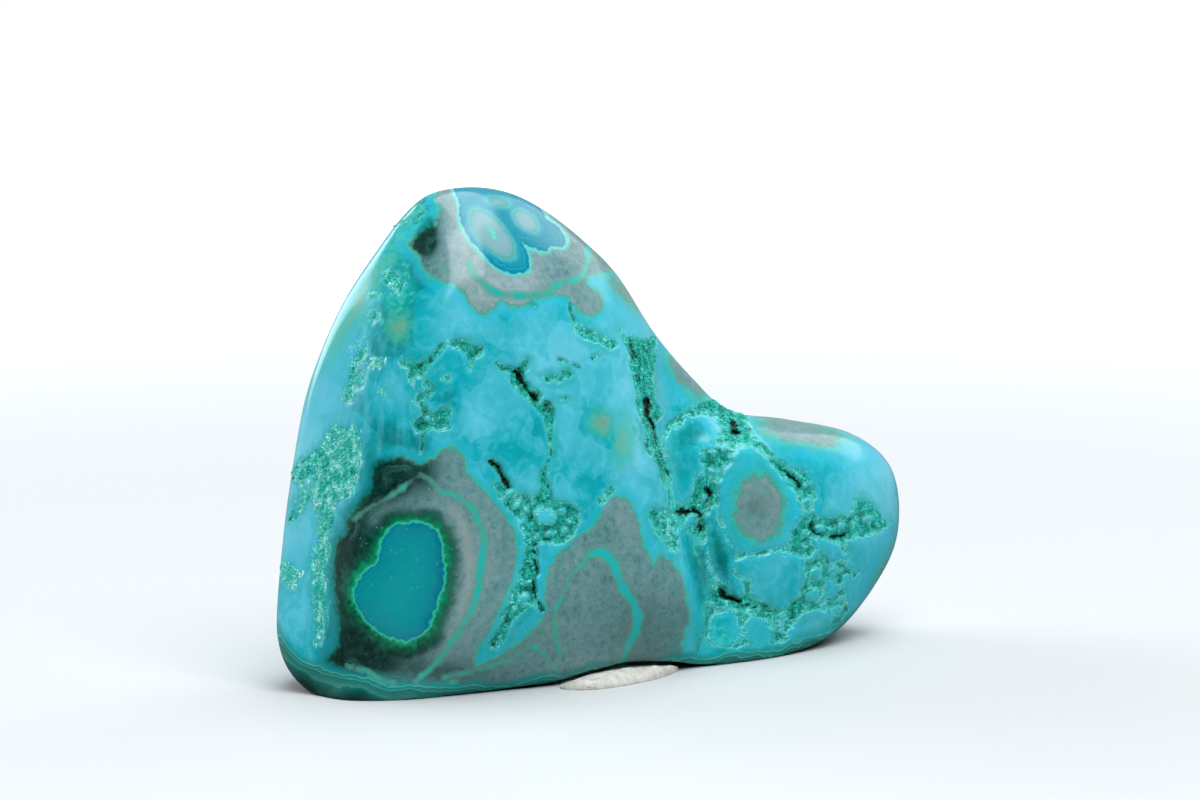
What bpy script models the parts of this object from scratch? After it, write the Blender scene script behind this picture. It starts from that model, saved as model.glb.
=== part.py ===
"""A polished freeform of chrysocolla with malachite, standing on its long edge on a pad of mounting putty.

The stone is worked out over a drawing sheet: an upright sheet, 120 mm wide and 80 mm high, that stands
square to the line from an eye point in front and to the left of the stone. A place on the sheet is given
in millimetres right and down from its top left corner. Every line from the eye through the sheet enters the
stone at its display side and leaves it at its back, so both sides are depths along those lines, and
they meet at the rim, whose outline is drawn on the sheet.

Lengths here are millimetres: +X along the stone's length, +Y to its back, +Z up, and Z = 0 is what it stands on.
"""

from math import cos, radians, sin

import bpy
import numpy as np

MM = 0.001

# The origin: the middle of the whole thing's footprint, given in the axes that the shapes below are drawn in.
ORIGIN = np.array((6.5, -0.73, 0.0))

# The drawing sheet and the eye point.
SHEET_MIDDLE = np.array((60.0, 40.0))
SHEET_PLACE = np.array((1.5, -6.0, 27.7))
EYE_DISTANCE = 400.0
EYE_TURN = radians(32.0)
EYE_DIP = radians(6.5)

# The rim: right and down on the sheet, and how far it lies behind the stone's middle plane.
RIM = (
    (27.7, 61.0, 4.0),
    (28.4, 53.0, 5.0),
    (29.3, 46.5, 5.0),
    (30.5, 40.0, 5.0),
    (32.3, 34.7, 4.5),
    (34.6, 29.8, 4.0),
    (37.6, 25.2, 3.0),
    (40.3, 21.6, 2.5),
    (43.0, 19.4, 1.0),
    (47.0, 18.7, 0.5),
    (51.0, 19.3, 0.0),
    (54.7, 21.2, -0.5),
    (58.5, 24.2, -0.5),
    (61.8, 27.6, -0.5),
    (65.5, 33.4, -0.5),
    (69.6, 38.2, 0.0),
    (73.0, 41.1, 0.5),
    (78.5, 41.9, 1.0),
    (85.0, 43.3, 0.5),
    (89.0, 46.6, 0.0),
    (89.9, 52.0, -0.5),
    (88.4, 57.0, -2.0),
    (83.8, 63.0, -5.0),
    (78.0, 65.6, -7.5),
    (72.0, 66.4, -8.2),
    (67.2, 66.3, -8.3),
    (63.0, 66.2, -8.0),
    (60.0, 66.9, -9.0),
    (55.4, 68.2, -9.0),
    (50.5, 68.9, -8.4),
    (45.0, 69.6, -8.2),
    (40.0, 70.25, -7.4),
    (34.5, 70.3, -4.6),
    (31.2, 69.3, -0.5),
    (29.0, 67.2, 1.5),
    (27.9, 64.5, 3.0),
)
RIM_STEPS = 16
CENTRE = np.array((57.0, 50.0))

# Polished faces: a place on each, and where it looks, as degrees turned from straight ahead (-Y) towards +X,
# and degrees up. The body's front faces end at the step, behind which the foot's begin.
BODY_FACES = (
    ((0.0, -11.5, 12.0), 3.0, 7.0),
    ((-16.7, -11.5, 12.0), -30.0, 5.0),
    ((-27.3, -5.5, 12.0), -82.0, 10.0),
    ((-3.0, -9.8, 38.0), 15.0, 32.0),
    ((-20.0, -7.4, 38.0), -50.0, 30.0),
)
FOOT_FACES = (
    ((25.0, -8.0, 12.0), -6.0, 6.0),
    ((25.0, -6.8, 22.0), 5.0, 35.0),
)
BACK_FACES = (
    ((0.0, 11.0, 12.0), 180.0, 6.0),
    ((-24.0, 11.0, 12.0), 210.0, 8.0),
    ((33.0, 9.5, 12.0), 158.0, 8.0),
    ((-3.0, 9.4, 38.0), 180.0, 26.0),
)
FACE_ROUNDING = 1.8

# The step from the body down to the foot, right and down on the sheet.
STEP = ((66.5, 30.0), (65.4, 37.0), (65.6, 43.0), (66.8, 48.5), (68.3, 53.0), (69.6, 58.0), (70.0, 62.0), (69.6, 70.0))
STEP_WIDTH = 0.9

# How the sides come round to the rim: the least they stand out from it, over what width they turn, and how full
# that curve is (2 is round).
LEAST_BULGE = 4.0
RIM_TURN = 12.0
RIM_FULLNESS = 2.2

# Crevices: half width and depth, then the line they follow, right and down on the sheet, which they wander from.
CREVICE_WANDER = 0.2
FRONT_CREVICES = (
    (0.5, 0.9, (40.9, 36.7), (42.6, 36.2), (44.2, 34.4), (46.4, 34.6), (47.7, 35.6), (48.4, 34.9)),
    (0.5, 1.3, (49.5, 36.1), (51.5, 36.7), (52.1, 38.7), (54.0, 40.4), (55.0, 42.2), (54.9, 43.8)),
    (0.4, 1.0, (54.9, 43.8), (55.2, 45.0), (54.2, 47.2), (55.1, 49.8)),
    (0.9, 0.7, (41.5, 38.8), (42.4, 41.6), (44.6, 42.2)),
    (0.35, 0.8, (42.1, 44.2), (41.8, 46.0)),
    (0.45, 1.1, (49.2, 46.2), (49.9, 47.0), (50.9, 48.6)),
    (1.2, 0.7, (50.9, 49.6), (53.0, 51.8), (54.8, 53.2), (57.0, 51.2)),
    (0.5, 1.2, (52.6, 53.7), (53.6, 55.5), (53.5, 58.7), (54.0, 60.9)),
    (0.6, 0.7, (52.0, 57.5), (51.0, 60.0), (50.5, 61.6), (50.0, 63.2), (49.0, 64.6)),
    (0.45, 0.6, (57.3, 31.8), (58.4, 33.1), (60.5, 34.1), (61.8, 34.9)),
    (1.0, 1.3, (63.4, 33.5), (64.0, 36.0), (64.7, 39.6), (65.1, 42.0)),
    (0.55, 1.2, (65.1, 42.0), (65.7, 45.1), (66.6, 48.0), (66.8, 50.5)),
    (0.9, 0.8, (65.8, 52.0), (67.2, 53.5), (66.8, 50.8)),
    (0.35, 0.9, (74.2, 41.8), (74.6, 43.7), (75.5, 44.4)),
    (0.45, 1.0, (75.5, 44.9), (76.7, 45.8), (79.7, 48.1), (80.1, 50.1), (81.1, 52.0), (81.5, 53.3)),
    (0.4, 0.9, (81.5, 53.3), (83.8, 53.8), (86.3, 52.4), (87.5, 52.4)),
    (0.5, 1.1, (71.9, 58.6), (72.1, 60.0), (73.9, 60.2)),
    (0.45, 1.0, (74.9, 60.7), (76.7, 61.4), (78.5, 61.4), (80.1, 60.0), (80.8, 58.4), (82.0, 58.9)),
    (0.3, 0.7, (76.9, 61.6), (77.8, 63.7), (79.0, 61.6)),
    (0.8, 0.45, (30.5, 48.5), (32.0, 46.0), (34.0, 45.0)),
    (1.3, 0.5, (34.6, 46.0), (34.2, 49.0), (33.3, 51.5), (32.6, 54.5), (32.0, 57.5)),
    (0.7, 0.45, (32.0, 57.5), (32.3, 61.0), (31.6, 64.0)),
    (1.1, 0.4, (35.8, 35.0), (37.5, 36.0), (36.0, 38.5), (35.0, 39.8)),
)
BACK_CREVICES = (
    (0.5, 1.1, (37.5, 40.0), (40.0, 42.0), (42.0, 46.0), (46.0, 48.0), (48.5, 52.0), (48.0, 55.0)),
    (0.6, 1.1, (60.0, 35.0), (60.5, 39.0), (63.0, 43.0), (62.5, 47.0), (66.0, 51.0), (67.0, 56.0)),
    (0.9, 0.6, (46.5, 30.0), (49.0, 32.0), (52.0, 31.0)),
    (0.45, 0.9, (74.0, 47.5), (77.0, 50.0), (79.0, 54.0), (83.0, 55.0)),
    (1.0, 0.6, (53.0, 60.0), (56.5, 61.5), (60.0, 60.0)),
)

# Pits: right, down, radius and depth.
FRONT_PITS = (
    (73.2, 43.0, 0.8, 1.3),
    (72.6, 45.8, 0.55, 0.9),
    (71.2, 40.3, 0.45, 0.7),
    (69.2, 51.0, 1.0, 1.2),
    (70.8, 49.1, 0.65, 1.0),
    (71.0, 55.1, 0.4, 0.7),
    (57.3, 31.3, 0.4, 0.6),
    (58.0, 36.0, 0.4, 0.5),
    (59.8, 49.9, 0.45, 0.5),
)
BACK_PITS = (
    (44.5, 37.0, 0.6, 0.8),
    (70.0, 45.0, 0.7, 1.0),
    (56.0, 43.0, 0.5, 0.8),
    (73.0, 58.0, 0.6, 0.9),
    (36.5, 56.0, 0.8, 0.8),
)

# Grape-like lumps: right, down, half width, half height and rise.
FRONT_LUMPS = (
    (68.9, 45.0, 2.6, 5.2, 0.7),
    (75.7, 51.0, 4.8, 8.6, 0.9),
    (76.2, 58.0, 4.2, 3.2, 0.7),
    (83.4, 47.4, 4.0, 5.4, 0.7),
    (84.5, 56.0, 1.9, 1.9, 0.6),
    (82.6, 60.4, 2.2, 1.9, 0.6),
    (73.2, 63.2, 3.6, 2.4, 0.5),
    (49.3, 42.0, 5.6, 6.4, 0.5),
    (40.1, 33.6, 3.4, 2.4, 0.4),
    (59.5, 43.5, 4.6, 6.6, 0.4),
)
BACK_LUMPS = (
    (54.0, 50.0, 7.0, 6.0, 0.6),
    (76.0, 55.0, 6.0, 5.0, 0.7),
    (44.0, 58.0, 6.0, 5.0, 0.5),
)

# The underside is flat, apart from a shallow hollow across it, over the putty: middle, half length and height.
HOLLOW_MIDDLE = 2.8
HOLLOW_HALF = 9.2
HOLLOW_HEIGHT = 1.25
HOLLOW_POWER = 3

GRID = 170
CROWDING = 9
STONE_TRIANGLES = 9000

# The putty: a lump under the hollow that has squeezed out in front of the stone. Its outline on the ground,
# from its left end round by the front. In front of the stone's edge its top may rise again, by PAD_SLOPE.
PAD_OUTLINE = (
    (-5.2, -9.4),
    (-6.3, -11.2),
    (-5.5, -12.7),
    (-3.0, -13.6),
    (2.0, -12.8),
    (6.4, -10.9),
    (9.3, -8.4),
    (8.6, -6.2),
    (5.4, -4.9),
    (0.0, -5.3),
    (-3.9, -7.2),
)
PAD_MIDDLE = np.array((1.8, -9.3))
PAD_HEIGHT = 1.5
PAD_FULLNESS = 3.0
PAD_GAP = 0.4
PAD_SLOPE = 0.3
STONE_EDGE = -9.3
PAD_RINGS = 12
PAD_STEPS = 5


def looks(turn, up):
    """A unit vector that looks `turn` degrees from -Y towards +X, and `up` degrees above level."""
    turn, up = radians(turn), radians(up)
    return np.array((sin(turn) * cos(up), -cos(turn) * cos(up), sin(up)))


AHEAD = -looks(-np.degrees(EYE_TURN), np.degrees(EYE_DIP))
RIGHT = np.array((cos(EYE_TURN), -sin(EYE_TURN), 0.0))
UP = np.cross(RIGHT, AHEAD)
EYE = SHEET_PLACE - EYE_DISTANCE * AHEAD


def sight_lines(sheet):
    """The line from the eye through each place on the sheet, as a vector that reaches the sheet."""
    offset = (sheet - SHEET_MIDDLE) / EYE_DISTANCE
    return AHEAD + offset[..., :1] * RIGHT - offset[..., 1:] * UP


def depth_of_plane(sheet, point, normal):
    """How far behind the sheet each sight line meets the plane through point."""
    return ((point - EYE) @ normal) / (sight_lines(sheet) @ normal) - EYE_DISTANCE


def smooth_curve(points, steps):
    """A closed Catmull-Rom curve through the points, with `steps` places to each of them."""
    points = np.asarray(points, float)
    before, after, next_after = (np.roll(points, shift, 0) for shift in (1, -1, -2))
    t = (np.arange(steps) / steps)[None, :, None]
    p0, p1, p2, p3 = (p[:, None, :] for p in (before, points, after, next_after))
    curve = 0.5 * (
        2 * p1
        + (p2 - p0) * t
        + (2 * p0 - 5 * p1 + 4 * p2 - p3) * t**2
        + (3 * p1 - p0 - 3 * p2 + p3) * t**3
    )
    return curve.reshape(-1, points.shape[1])


RIM_CURVE = smooth_curve(RIM, RIM_STEPS)


def rim_at(angle):
    """Where the rim lies in each direction from CENTRE: right, down and back."""
    spoke = RIM_CURVE[:, :2] - CENTRE
    around = np.arctan2(spoke[:, 1], spoke[:, 0])
    order = np.argsort(around)
    around, curve = around[order], RIM_CURVE[order]
    return np.stack([np.interp(angle, around, column, period=2 * np.pi) for column in curve.T], -1)


def faces_depth(sheet, faces, side):
    """Where the faces meet, rounded: the deepest of the front ones (side 1) or the nearest of the back's (-1)."""
    depths = np.stack([side * depth_of_plane(sheet, point, looks(turn, up)) for point, turn, up in faces])
    peak = depths.max(0)
    return side * (peak + FACE_ROUNDING * np.log(np.exp((depths - peak) / FACE_ROUNDING).sum(0)))


def front_depth(sheet):
    """The body's faces, and past the step the foot's."""
    right, down = np.array(STEP).T
    past = (sheet[..., 0] - np.interp(sheet[..., 1], down, right)) / STEP_WIDTH
    share = 1 / (1 + np.exp(-2 * past))
    body, foot = (faces_depth(sheet, faces, 1) for faces in (BODY_FACES, FOOT_FACES))
    return body + (foot - body) * share


def distance_to_line(sheet, points):
    """How far each place on the sheet is from a line of straight runs."""
    nearest = np.full(sheet.shape[:-1], np.inf)
    points = np.asarray(points)
    for start, end in zip(points[:-1], points[1:]):
        run = end - start
        along = np.clip((sheet - start) @ run / (run @ run), 0, 1)
        gap = sheet - start - along[..., None] * run
        nearest = np.minimum(nearest, np.hypot(gap[..., 0], gap[..., 1]))
    return nearest


def hollowed(distance, half_width, depth):
    """The depth of a rounded groove or pit: full in its middle, and none from 1.6 times its half width on."""
    out = np.clip(distance / (1.6 * half_width), 0, 1)
    return depth * (1 - out**2) ** 2


def relief(sheet, crevices, pits, lumps):
    """How far the surface lies below its polished faces, or above them where it is less than 0."""
    across, down = sheet[..., 0], sheet[..., 1]
    cut = np.zeros(across.shape)
    wavy = sheet + CREVICE_WANDER * np.stack([np.sin(2.3 * down + 0.8 * across), np.sin(2.7 * across)], -1)
    for half_width, depth, *points in crevices:
        cut = np.maximum(cut, hollowed(distance_to_line(wavy, points), half_width, depth))
    for x, y, radius, depth in pits:
        cut = np.maximum(cut, hollowed(np.hypot(across - x, down - y), radius, depth))
    rise = np.zeros(across.shape)
    for x, y, half_width, half_height, height in lumps:
        out = ((across - x) / half_width) ** 2 + ((down - y) / half_height) ** 2
        rise = np.maximum(rise, height * np.sqrt(np.clip(1 - out, 0, 1)))
    return cut - rise


def hollow_height(across):
    """How far the underside is off the ground, at each place along the stone's length."""
    return HOLLOW_HEIGHT * (1 - np.abs((across - HOLLOW_MIDDLE) / HOLLOW_HALF) ** HOLLOW_POWER).clip(0)


def stone_surface(disc, side):
    """Places on one side of the stone, for places on a unit disc. side is 1 in front and -1 behind.

    The disc is stretched to the rim's outline on the sheet. The depth runs from the rim's to that of the
    polished faces as (1 - r^n)^(1/n), where r falls from 1 at the rim to 0 at RIM_TURN inside it.
    """
    radius = np.hypot(disc[..., 0], disc[..., 1]).clip(0, 1)
    share = (CROWDING * radius - radius**CROWDING) / (CROWDING - 1)
    rim = rim_at(np.arctan2(disc[..., 1], disc[..., 0]))
    sheet = CENTRE + (rim[..., :2] - CENTRE) * share[..., None]
    lines = sight_lines(sheet)
    rim_depth = (rim[..., 2] * share**2 - EYE[1]) / lines[..., 1] - EYE_DISTANCE
    from_rim = np.hypot(rim[..., 0] - sheet[..., 0], rim[..., 1] - sheet[..., 1]) / RIM_TURN
    fullness = (1 - (1 - from_rim).clip(0) ** RIM_FULLNESS) ** (1 / RIM_FULLNESS)
    if side > 0:
        faces, carving = front_depth(sheet), relief(sheet, FRONT_CREVICES, FRONT_PITS, FRONT_LUMPS)
    else:
        faces, carving = faces_depth(sheet, BACK_FACES, -1), relief(sheet, BACK_CREVICES, BACK_PITS, BACK_LUMPS)
    bulge = LEAST_BULGE + np.logaddexp(0, side * (rim_depth - faces) - LEAST_BULGE)
    depth = rim_depth - side * (bulge - carving) * fullness
    place = EYE + (EYE_DISTANCE + depth[..., None]) * lines
    place[..., 2] = np.maximum(place[..., 2], hollow_height(place[..., 0]))
    return place - ORIGIN


def disc_grid(size):
    """A square grid of places drawn in to fill a unit disc."""
    across = np.linspace(-1, 1, size)
    x, y = np.meshgrid(across, across)
    return np.stack([x * np.sqrt(1 - y * y / 2), y * np.sqrt(1 - x * x / 2)], -1)


def stone_mesh():
    """Both sides of the stone as one closed mesh, sewn along the rim."""
    disc = disc_grid(GRID)
    front, back = stone_surface(disc, 1), stone_surface(disc, -1)
    edge = np.zeros((GRID, GRID), bool)
    edge[[0, -1], :] = edge[:, [0, -1]] = True
    front_index = np.arange(GRID * GRID).reshape(GRID, GRID)
    back_index = front_index.copy()
    back_index[~edge] = GRID * GRID + np.arange((~edge).sum())
    first = front_index[:-1, :-1].ravel()
    squares = np.stack([first, first + 1, first + GRID + 1, first + GRID], 1)
    places = np.concatenate([front.reshape(-1, 3), back[~edge]])
    corners = np.concatenate([squares[:, ::-1], back_index.ravel()[squares]])
    mesh = bpy.data.meshes.new("stone")
    mesh.from_pydata((places * MM).tolist(), [], corners.tolist())
    return mesh


def pad_mesh():
    """The putty: rings drawn in from its outline, under a dome that is pressed flat where the stone is over it."""
    outline = smooth_curve(PAD_OUTLINE, PAD_STEPS)
    share = np.sin(np.arange(1, PAD_RINGS + 1) / PAD_RINGS * np.pi / 2)
    flat = PAD_MIDDLE + (outline - PAD_MIDDLE) * share[:, None, None]
    flat = np.concatenate([PAD_MIDDLE[None], flat.reshape(-1, 2)])
    share = np.concatenate([[0.0], np.repeat(share, len(outline))])
    dome = PAD_HEIGHT * (1 - share**PAD_FULLNESS).clip(0) ** (1 / PAD_FULLNESS)
    room = hollow_height(flat[:, 0]) - PAD_GAP + PAD_SLOPE * (STONE_EDGE - flat[:, 1]).clip(0)
    places = np.concatenate([flat, np.minimum(dome, room).clip(0)[:, None]], 1) - ORIGIN
    spoke = np.arange(len(outline))
    after = (spoke + 1) % len(outline)
    faces = np.stack([np.zeros_like(spoke), 1 + spoke, 1 + after], 1).tolist()
    for ring in range(PAD_RINGS - 1):
        inner, outer = 1 + ring * len(outline), 1 + (ring + 1) * len(outline)
        faces += np.stack([inner + spoke, outer + spoke, outer + after, inner + after], 1).tolist()
    faces.append((outer + spoke[::-1]).tolist())
    mesh = bpy.data.meshes.new("putty_pad")
    mesh.from_pydata((places * MM).tolist(), [], faces)
    return mesh


def finish(name, colour, roughness):
    """A plain material for one piece."""
    material = bpy.data.materials.new(name)
    material.use_nodes = True
    shader = material.node_tree.nodes["Principled BSDF"]
    shader.inputs["Base Color"].default_value = (*colour, 1.0)
    shader.inputs["Roughness"].default_value = roughness
    shader.inputs["Metallic"].default_value = 0.0
    return material


def add_piece(name, mesh, material):
    piece = bpy.data.objects.new(name, mesh)
    bpy.context.scene.collection.objects.link(piece)
    mesh.shade_smooth()
    mesh.materials.append(material)
    return piece


def main():
    for old in list(bpy.data.objects):
        bpy.data.objects.remove(old)
    stone = add_piece("stone", stone_mesh(), finish("polished chrysocolla", (0.02, 0.38, 0.45), 0.35))
    thinned = stone.modifiers.new("fewer faces on the flats", "DECIMATE")
    thinned.ratio = STONE_TRIANGLES / (2 * len(stone.data.polygons))
    add_piece("putty_pad", pad_mesh(), finish("white putty", (0.80, 0.78, 0.72), 0.75))


main()
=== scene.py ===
from math import cos, pi, radians, sin

import bpy
import numpy as np
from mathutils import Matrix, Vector


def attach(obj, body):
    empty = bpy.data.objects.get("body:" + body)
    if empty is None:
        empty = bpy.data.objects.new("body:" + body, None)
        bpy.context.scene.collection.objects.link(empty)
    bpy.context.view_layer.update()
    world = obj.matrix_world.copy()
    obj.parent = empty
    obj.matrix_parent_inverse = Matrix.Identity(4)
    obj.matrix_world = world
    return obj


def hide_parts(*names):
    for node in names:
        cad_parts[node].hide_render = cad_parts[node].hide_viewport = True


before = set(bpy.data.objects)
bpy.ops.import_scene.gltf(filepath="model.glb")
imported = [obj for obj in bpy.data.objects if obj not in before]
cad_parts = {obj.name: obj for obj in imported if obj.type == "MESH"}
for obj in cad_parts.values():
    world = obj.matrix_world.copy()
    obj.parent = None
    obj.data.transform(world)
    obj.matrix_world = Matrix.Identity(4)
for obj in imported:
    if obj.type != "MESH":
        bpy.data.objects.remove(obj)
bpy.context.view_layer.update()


# ---- The eye point and the drawing sheet ---------------------------------------------------------
# The stone is drawn on an upright sheet, 120 mm by 80 mm, seen from one eye point in front and to the left.
# A place on the sheet is millimetres right and down from its top left corner. The camera is at the eye point.

MM = 0.001
ORIGIN = np.array((6.5, -0.73, 0.0))
SHEET_WIDTH = 120.0
SHEET_MIDDLE = np.array((60.0, 40.0))
SHEET_PLACE = np.array((1.5, -6.0, 27.7))
EYE_DISTANCE = 400.0
EYE_TURN = radians(32.0)
EYE_DIP = radians(6.5)
FILM_WIDTH = 36.0


def looks(turn, up):
    """A unit vector that looks `turn` degrees from -Y towards +X, and `up` degrees above level."""
    turn, up = radians(turn), radians(up)
    return np.array((sin(turn) * cos(up), -cos(turn) * cos(up), sin(up)))


AHEAD = -looks(-np.degrees(EYE_TURN), np.degrees(EYE_DIP))
RIGHT = np.array((cos(EYE_TURN), -sin(EYE_TURN), 0.0))
UP = np.cross(RIGHT, AHEAD)
EYE = SHEET_PLACE - EYE_DISTANCE * AHEAD


def sight_lines(sheet):
    """The line from the eye through each place on the sheet, as a vector that reaches the sheet."""
    offset = (sheet - SHEET_MIDDLE) / EYE_DISTANCE
    return AHEAD + offset[..., :1] * RIGHT - offset[..., 1:] * UP


lens = bpy.data.cameras.new("camera")
lens.sensor_width = FILM_WIDTH
lens.lens = FILM_WIDTH * EYE_DISTANCE / SHEET_WIDTH
lens.clip_start = 0.01
camera = bpy.data.objects.new("camera", lens)
camera.location = Vector((EYE - ORIGIN) * MM)
camera.rotation_euler = Vector(AHEAD).to_track_quat("-Z", "Y").to_euler()
bpy.context.scene.collection.objects.link(camera)
bpy.context.scene.camera = camera
bpy.context.scene.view_settings.view_transform = "Standard"


# ---- The stone's form ----------------------------------------------------------------------------
# One piece of stone, sawn and ground into broad polished faces with rounded edges, and stood on a flat
# lower edge. Each line from the eye enters it in front and leaves it behind, and both sides meet at its
# outline, the rim.

# Right and down on the sheet, and how far the rim lies behind the stone's middle plane.
RIM = (
    (27.7, 61.0, 4.0), (28.4, 53.0, 5.0), (29.3, 46.5, 5.0), (30.5, 40.0, 5.0), (32.3, 34.7, 4.5),
    (34.6, 29.8, 4.0), (37.6, 25.2, 3.0), (40.3, 21.6, 2.5), (43.0, 19.4, 1.0), (47.0, 18.7, 0.5),
    (51.0, 19.3, 0.0), (54.7, 21.2, -0.5), (58.5, 24.2, -0.5), (61.8, 27.6, -0.5), (65.5, 33.4, -0.5),
    (69.6, 38.2, 0.0), (73.0, 41.1, 0.5), (78.5, 41.9, 1.0), (85.0, 43.3, 0.5), (89.0, 46.6, 0.0),
    (89.9, 52.0, -0.5), (88.4, 57.0, -2.0), (83.8, 63.0, -5.0), (78.0, 65.6, -7.5), (72.0, 66.4, -8.2),
    (67.2, 66.3, -8.3), (63.0, 66.2, -8.0), (60.0, 66.9, -9.0), (55.4, 68.2, -9.0), (50.5, 68.9, -8.4),
    (45.0, 69.6, -8.2), (40.0, 70.25, -7.4), (34.5, 70.3, -4.6), (31.2, 69.3, -0.5), (29.0, 67.2, 1.5),
    (27.9, 64.5, 3.0),
)
RIM_STEPS = 16
CENTRE = np.array((57.0, 50.0))

# Polished faces: a place on each, and where it looks, as degrees turned from -Y towards +X, and degrees up.
BODY_FACES = (
    ((0.0, -11.5, 12.0), 3.0, 7.0),
    ((-16.7, -11.5, 12.0), -30.0, 5.0),
    ((-27.3, -5.5, 12.0), -82.0, 10.0),
    ((-3.0, -9.8, 38.0), 15.0, 32.0),
    ((-20.0, -7.4, 38.0), -50.0, 30.0),
)
FOOT_FACES = (
    ((25.0, -8.0, 12.0), -6.0, 6.0),
    ((25.0, -6.8, 22.0), 5.0, 35.0),
)
BACK_FACES = (
    ((0.0, 11.0, 12.0), 180.0, 6.0),
    ((-24.0, 11.0, 12.0), 210.0, 8.0),
    ((33.0, 9.5, 12.0), 158.0, 8.0),
    ((-3.0, 9.4, 38.0), 180.0, 26.0),
)
FACE_ROUNDING = 1.8

# The step from the body down to the foot, and how the sides come round to the rim.
STEP = (
    (66.5, 30.0), (65.4, 37.0), (65.6, 43.0), (66.8, 48.5), (68.3, 53.0), (69.6, 58.0), (70.0, 62.0),
    (69.6, 70.0),
)
STEP_WIDTH = 0.9
LEAST_BULGE = 4.0
RIM_TURN = 12.0
RIM_FULLNESS = 2.2

# The shallow hollow across the flat underside, over the putty.
HOLLOW_MIDDLE = 2.8
HOLLOW_HALF = 9.2
HOLLOW_HEIGHT = 1.25
HOLLOW_POWER = 3

STONE_GRID = 220
CROWDING = 9


def smooth_curve(points, steps):
    """A closed Catmull-Rom curve through the points, in so many steps from each to the next.

    p(t) = (2 p1 + (p2 - p0) t + (2 p0 - 5 p1 + 4 p2 - p3) t^2 + (3 p1 - p0 - 3 p2 + p3) t^3) / 2
    """
    points = np.asarray(points, float)
    before, after, next_after = (np.roll(points, shift, 0) for shift in (1, -1, -2))
    t = (np.arange(steps) / steps)[None, :, None]
    p0, p1, p2, p3 = (p[:, None, :] for p in (before, points, after, next_after))
    curve = 0.5 * (
        2 * p1
        + (p2 - p0) * t
        + (2 * p0 - 5 * p1 + 4 * p2 - p3) * t**2
        + (3 * p1 - p0 - 3 * p2 + p3) * t**3
    )
    return curve.reshape(-1, points.shape[1])


RIM_CURVE = smooth_curve(RIM, RIM_STEPS)


def rim_at(angle):
    """Where the rim lies in each direction from CENTRE: right, down and back."""
    spoke = RIM_CURVE[:, :2] - CENTRE
    around = np.arctan2(spoke[:, 1], spoke[:, 0])
    order = np.argsort(around)
    around, curve = around[order], RIM_CURVE[order]
    return np.stack([np.interp(angle, around, column, period=2 * pi) for column in curve.T], -1)


def depth_of_plane(sheet, point, normal):
    """How far behind the sheet each sight line meets a plane: (point - eye).n / (line.n) - EYE_DISTANCE."""
    return ((point - EYE) @ normal) / (sight_lines(sheet) @ normal) - EYE_DISTANCE


def faces_depth(sheet, faces, side):
    """The depth of the faces, rounded where they meet: s w log(sum of exp(s depth / w)).

    s is the side, 1 in front and -1 behind, and w is FACE_ROUNDING.
    """
    depths = np.stack([side * depth_of_plane(sheet, point, looks(turn, up)) for point, turn, up in faces])
    peak = depths.max(0)
    return side * (peak + FACE_ROUNDING * np.log(np.exp((depths - peak) / FACE_ROUNDING).sum(0)))


def front_depth(sheet):
    """The body's faces, and past the step the foot's, shared out as 1 / (1 + e^(-2 x)) across the step."""
    right, down = np.array(STEP).T
    past = (sheet[..., 0] - np.interp(sheet[..., 1], down, right)) / STEP_WIDTH
    share = 1 / (1 + np.exp(-2 * past))
    body, foot = (faces_depth(sheet, faces, 1) for faces in (BODY_FACES, FOOT_FACES))
    return body + (foot - body) * share


def hollow_height(across):
    """How far the underside is off the ground: h (1 - |x / half|^3), and never less than 0."""
    return HOLLOW_HEIGHT * (1 - np.abs((across - HOLLOW_MIDDLE) / HOLLOW_HALF) ** HOLLOW_POWER).clip(0)


def disc_grid(size):
    """A square grid drawn in to a unit disc: (x, y) goes to (x sqrt(1 - y^2 / 2), y sqrt(1 - x^2 / 2))."""
    across = np.linspace(-1, 1, size)
    x, y = np.meshgrid(across, across)
    return np.stack([x * np.sqrt(1 - y * y / 2), y * np.sqrt(1 - x * x / 2)], -1)


def laid_on_sheet(disc):
    """Disc places stretched to the rim's outline: centre + (rim - centre) s, with s = (9 r - r^9) / 8.

    Returns the places on the sheet, the rim's place in the same direction, and the share s.
    """
    radius = np.hypot(disc[..., 0], disc[..., 1]).clip(0, 1)
    share = (CROWDING * radius - radius**CROWDING) / (CROWDING - 1)
    rim = rim_at(np.arctan2(disc[..., 1], disc[..., 0]))
    return CENTRE + (rim[..., :2] - CENTRE) * share[..., None], rim, share


def stone_side(disc, side, carving):
    """Places on one side of the stone, for places on a unit disc. side is 1 in front and -1 behind.

    From the rim inwards the depth runs to that of the polished faces as (1 - r^n)^(1/n), where r falls from 1
    at the rim to 0 at RIM_TURN inside it. Where the faces lie x from the rim's depth, it runs
    b + log(1 + e^(x - b)) for b of LEAST_BULGE, so that no side is flatter than b. The carving is how far
    the surface lies below the faces.
    """
    sheet, rim, share = laid_on_sheet(disc)
    lines = sight_lines(sheet)
    rim_depth = (rim[..., 2] * share**2 - EYE[1]) / lines[..., 1] - EYE_DISTANCE
    from_rim = np.hypot(rim[..., 0] - sheet[..., 0], rim[..., 1] - sheet[..., 1]) / RIM_TURN
    fullness = (1 - (1 - from_rim).clip(0) ** RIM_FULLNESS) ** (1 / RIM_FULLNESS)
    faces = front_depth(sheet) if side > 0 else faces_depth(sheet, BACK_FACES, -1)
    bulge = LEAST_BULGE + np.logaddexp(0, side * (rim_depth - faces) - LEAST_BULGE)
    depth = rim_depth - side * (bulge - carving) * fullness
    place = EYE + (EYE_DISTANCE + depth[..., None]) * lines
    place[..., 2] = np.maximum(place[..., 2], hollow_height(place[..., 0]))
    return place - ORIGIN


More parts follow.
